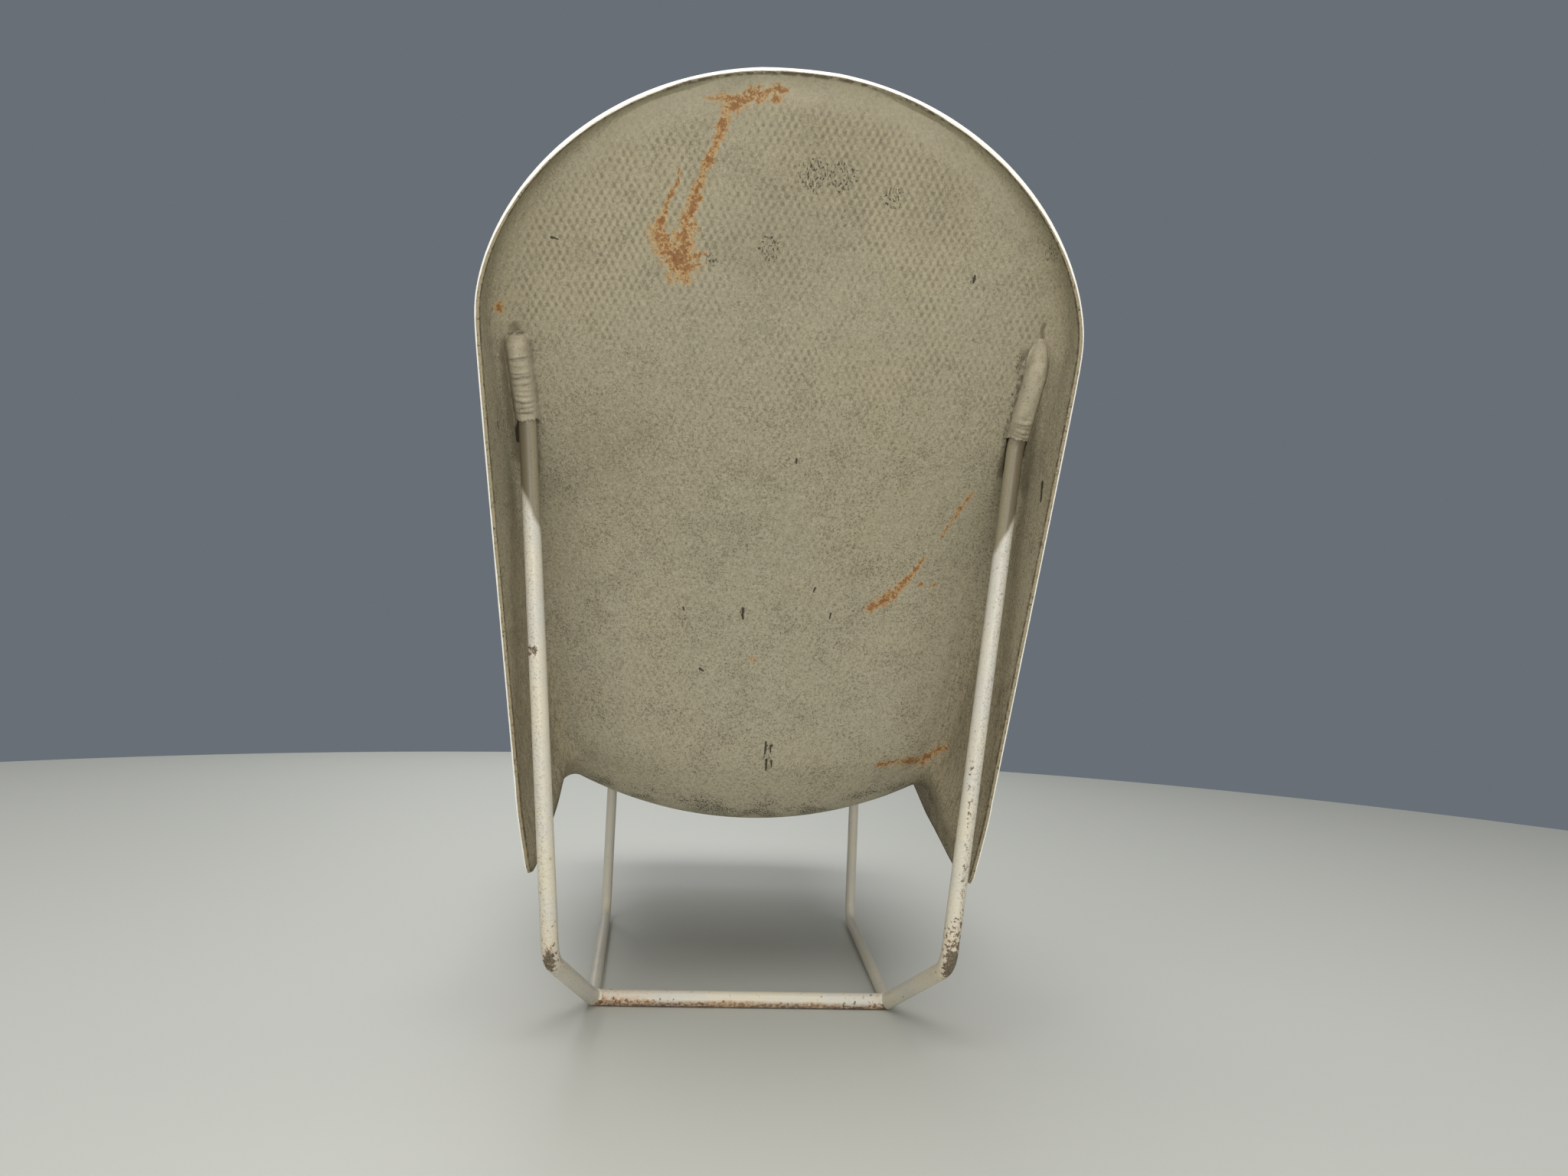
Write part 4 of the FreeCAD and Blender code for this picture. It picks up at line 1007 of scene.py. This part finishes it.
def finishPaint(name, own):
    kit = startFinish(name, {**paintLook, **own})
    place = kit.place("Object")
    patch, speck, coarse, fine = kit.clouds(place, "patch", "speck", "coarse", "fine")
    place = kit.split(place)
    colour = kit.tint(kit.band(patch, "cooler"), "cream", "cool")
    colour = kit.tint(kit.band(fine, "dusty"), colour, "stain")
    worn = kit.times(kit.band(patch, "chipped"), "chips")
    stained = None
    if "low" in own:
        worn = kit.plus(worn, kit.times(kit.band(place[2], "nearFloor"), "low"))
    else:
        rusty = kit.tint(kit.band(fine, "rustGrain"), "stain", "rust")
        if "bend" in own:
            colour, worn, stained = wearLeg(kit, place, patch, coarse, fine, colour, worn)
        else:
            worn, stained, deep = wearBar(kit, place, patch, worn)
            rusty = kit.tint(deep, rusty, "deepRust")
        colour = kit.tint(kit.times(stained, kit.band(speck, "stainSpeck")), colour, rusty)

    # chips go through to the steel, each with a rusty halo
    over = kit.minus(speck, kit.minus("chipLimit", worn))
    colour = kit.tint(kit.band(over, "halo"), colour, "rust")
    bare = kit.band(over, "chipEdge")
    steel = kit.tint(kit.band(fine, "bareDark"), "bare", "dark")
    steel = kit.tint(kit.band(coarse, "barePale"), steel, "laminate")
    kit.into("Base Color", kit.tint(kit.times(bare, "bareShare"), colour, steel))
    kit.into("Roughness", kit.plus(kit.times(bare, "bareMatt"), kit.times(patch, "patchMatt"), "gloss"))
    kit.relief(kit.plus(kit.times(patch, "patchHeight"), kit.times(bare, "bareDepth"),
                        kit.times(fine, "fineHeight")))


def coat(node, finish):
    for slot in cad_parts[node].material_slots:
        slot.material = bpy.data.materials[finish]


finishPaint("legPaint", legLook)
finishPaint("sidePaint", sideLook)
finishPaint("barPaint", barLook)
finishPaint("weldPaint", weldLook)
for side in ("left", "right"):
    coat("rear_leg_" + side, "legPaint")
    coat("side_tube_" + side, "sidePaint")
    coat("runner_weld_" + side, "weldPaint")
    coat("mitre_weld_" + side, "weldPaint")
coat("rear_floor_bar", "barPaint")
print("tubes painted")


# resin beds, and the cloth of the tabs

bedLook = {
    "roughness": 0.4, "specular": 0.5, "bumpStrength": 0.4, "bumpDistance": 0.0008,
    "resin": (150, 132, 96), "deep": (104, 88, 62), "patch": (90.0, 4.0, 0.6), "deeper": (0.4, 0.66),
}
clothLook = {
    "roughness": 0.74, "specular": 0.3, "bumpStrength": 0.5, "bumpDistance": 0.0009,
    "cloth": (164, 156, 134), "dip": (118, 108, 86), "grime": (66, 57, 44),
    "patch": (60.0, 4.0, 0.6), "fine": (420.0, 4.0, 0.65), "gaps": (150.0, 3.0, 0.6),
    "hole": (330.0, 2.0, 0.6), "dipPatch": (0.45, 0.7, 0.0, 0.40), "dipFine": (0.50, 0.72, 0.0, 0.50),
    "settled": (0.38, 0.58, 0.2, 0.8), "holeEdge": (0.66, 0.70, 0.0, 0.8), "fineHeight": 0.6,
}


def finishBed(look):
    kit = startFinish("resinBed", look)
    patch = kit.cloud(kit.place("Object"), "patch")
    kit.into("Base Color", kit.tint(kit.band(patch, "deeper"), "resin", "deep"))
    kit.relief(patch)


def finishCloth(look):
    kit = startFinish("tabCloth", look)
    patch, fine, gaps, hole = kit.clouds(kit.place("Object"), "patch", "fine", "gaps", "hole")
    colour = kit.tint(kit.band(patch, "dipPatch"), "cloth", "dip")
    colour = kit.tint(kit.band(fine, "dipFine"), colour, "dip")
    # dark in the creases: painted shade mixed with settled grime, broken up in patches
    colour = kit.tint(kit.times(kit.reading("crease"), kit.band(gaps, "settled")), colour, "grime")
    kit.into("Base Color", kit.tint(kit.band(hole, "holeEdge"), colour, "grime"))
    kit.relief(kit.plus(patch, kit.times(fine, "fineHeight")))


finishBed(bedLook)
finishCloth(clothLook)
for side in ("left", "right"):
    coat("rear_bond_bed_" + side, "resinBed")
    coat("front_bond_bed_" + side, "resinBed")
    coat("front_bond_tab_" + side, "tabCloth")
print("bonds finished")


# floor and light

stageLook = {
    "roughness": 0.6, "specular": 0.5, "floorSize": 6.4, "floorSides": 96, "floorDrop": 0.0004,
    "floorColour": (186, 188, 182), "air": (255, 255, 255), "ambient": 0.31, "backdrop": (104, 111, 118),
}


def makeStage(look):
    bpy.ops.mesh.primitive_circle_add(vertices=look["floorSides"], radius=look["floorSize"] / 2,
                                      fill_type="NGON", location=(0, 0, -look["floorDrop"]))
    floor = bpy.context.object
    floor.name = "paleFloor"
    startFinish("paleFloor", look).into("Base Color", "floorColour")
    floor.data.materials.append(bpy.data.materials["paleFloor"])

    # soft light from all round, and a backdrop where the world itself is seen
    world = bpy.data.worlds.new("studio")
    bpy.context.scene.world = world
    world.use_nodes = True
    world.node_tree.nodes.clear()
    kit = NodeKit(world.node_tree, look)
    rays = kit.node("LightPath")
    seen = kit.largest(rays[kind] for kind in ("Is Camera Ray", "Is Glossy Ray", "Is Transmission Ray"))
    soft = kit.node("Background", {"Color": "air", "Strength": "ambient"})[0]
    backdrop = kit.node("Background", {"Color": "backdrop", "Strength": 1.0})[0]
    kit.node("OutputWorld", {"Surface": kit.node("MixShader", {0: seen, 1: soft, 2: backdrop})[0]})


def softLamp(name, place, target, size, watts, colour):
    bpy.ops.object.light_add(type="AREA", location=place)
    lamp = bpy.context.object
    lamp.name = name
    lamp.rotation_mode = "QUATERNION"
    lamp.rotation_quaternion = (Vector(target) - Vector(place)).to_track_quat("-Z", "Y")
    lamp.data.size = size
    lamp.data.energy = watts
    lamp.data.color = colour


makeStage(stageLook)
softLamp("topLamp", (0.2, 1.5, 3.6), (0, 0.4, 0), 3.6, 132, (1.0, 0.98, 0.95))
softLamp("rearLamp", (0.0, 3.8, 0.45), (0, 0.1, 0.35), 1.4, 58, (1.0, 0.98, 0.94))
softLamp("leftLamp", (2.2, 2.5, 0.5), (0, 0.1, 0.4), 1.8, 8, (1.0, 0.97, 0.92))
softLamp("rightLamp", (-2.2, 2.5, 0.5), (0, 0.1, 0.4), 1.8, 8, (0.98, 0.98, 1.0))
softLamp("frontLamp", (0.4, -3.0, 2.0), (0, -0.2, 0.5), 2.2, 32, (1.0, 1.0, 1.0))
print("stage and lamps set")

bpy.context.scene.view_settings.view_transform = "Standard"
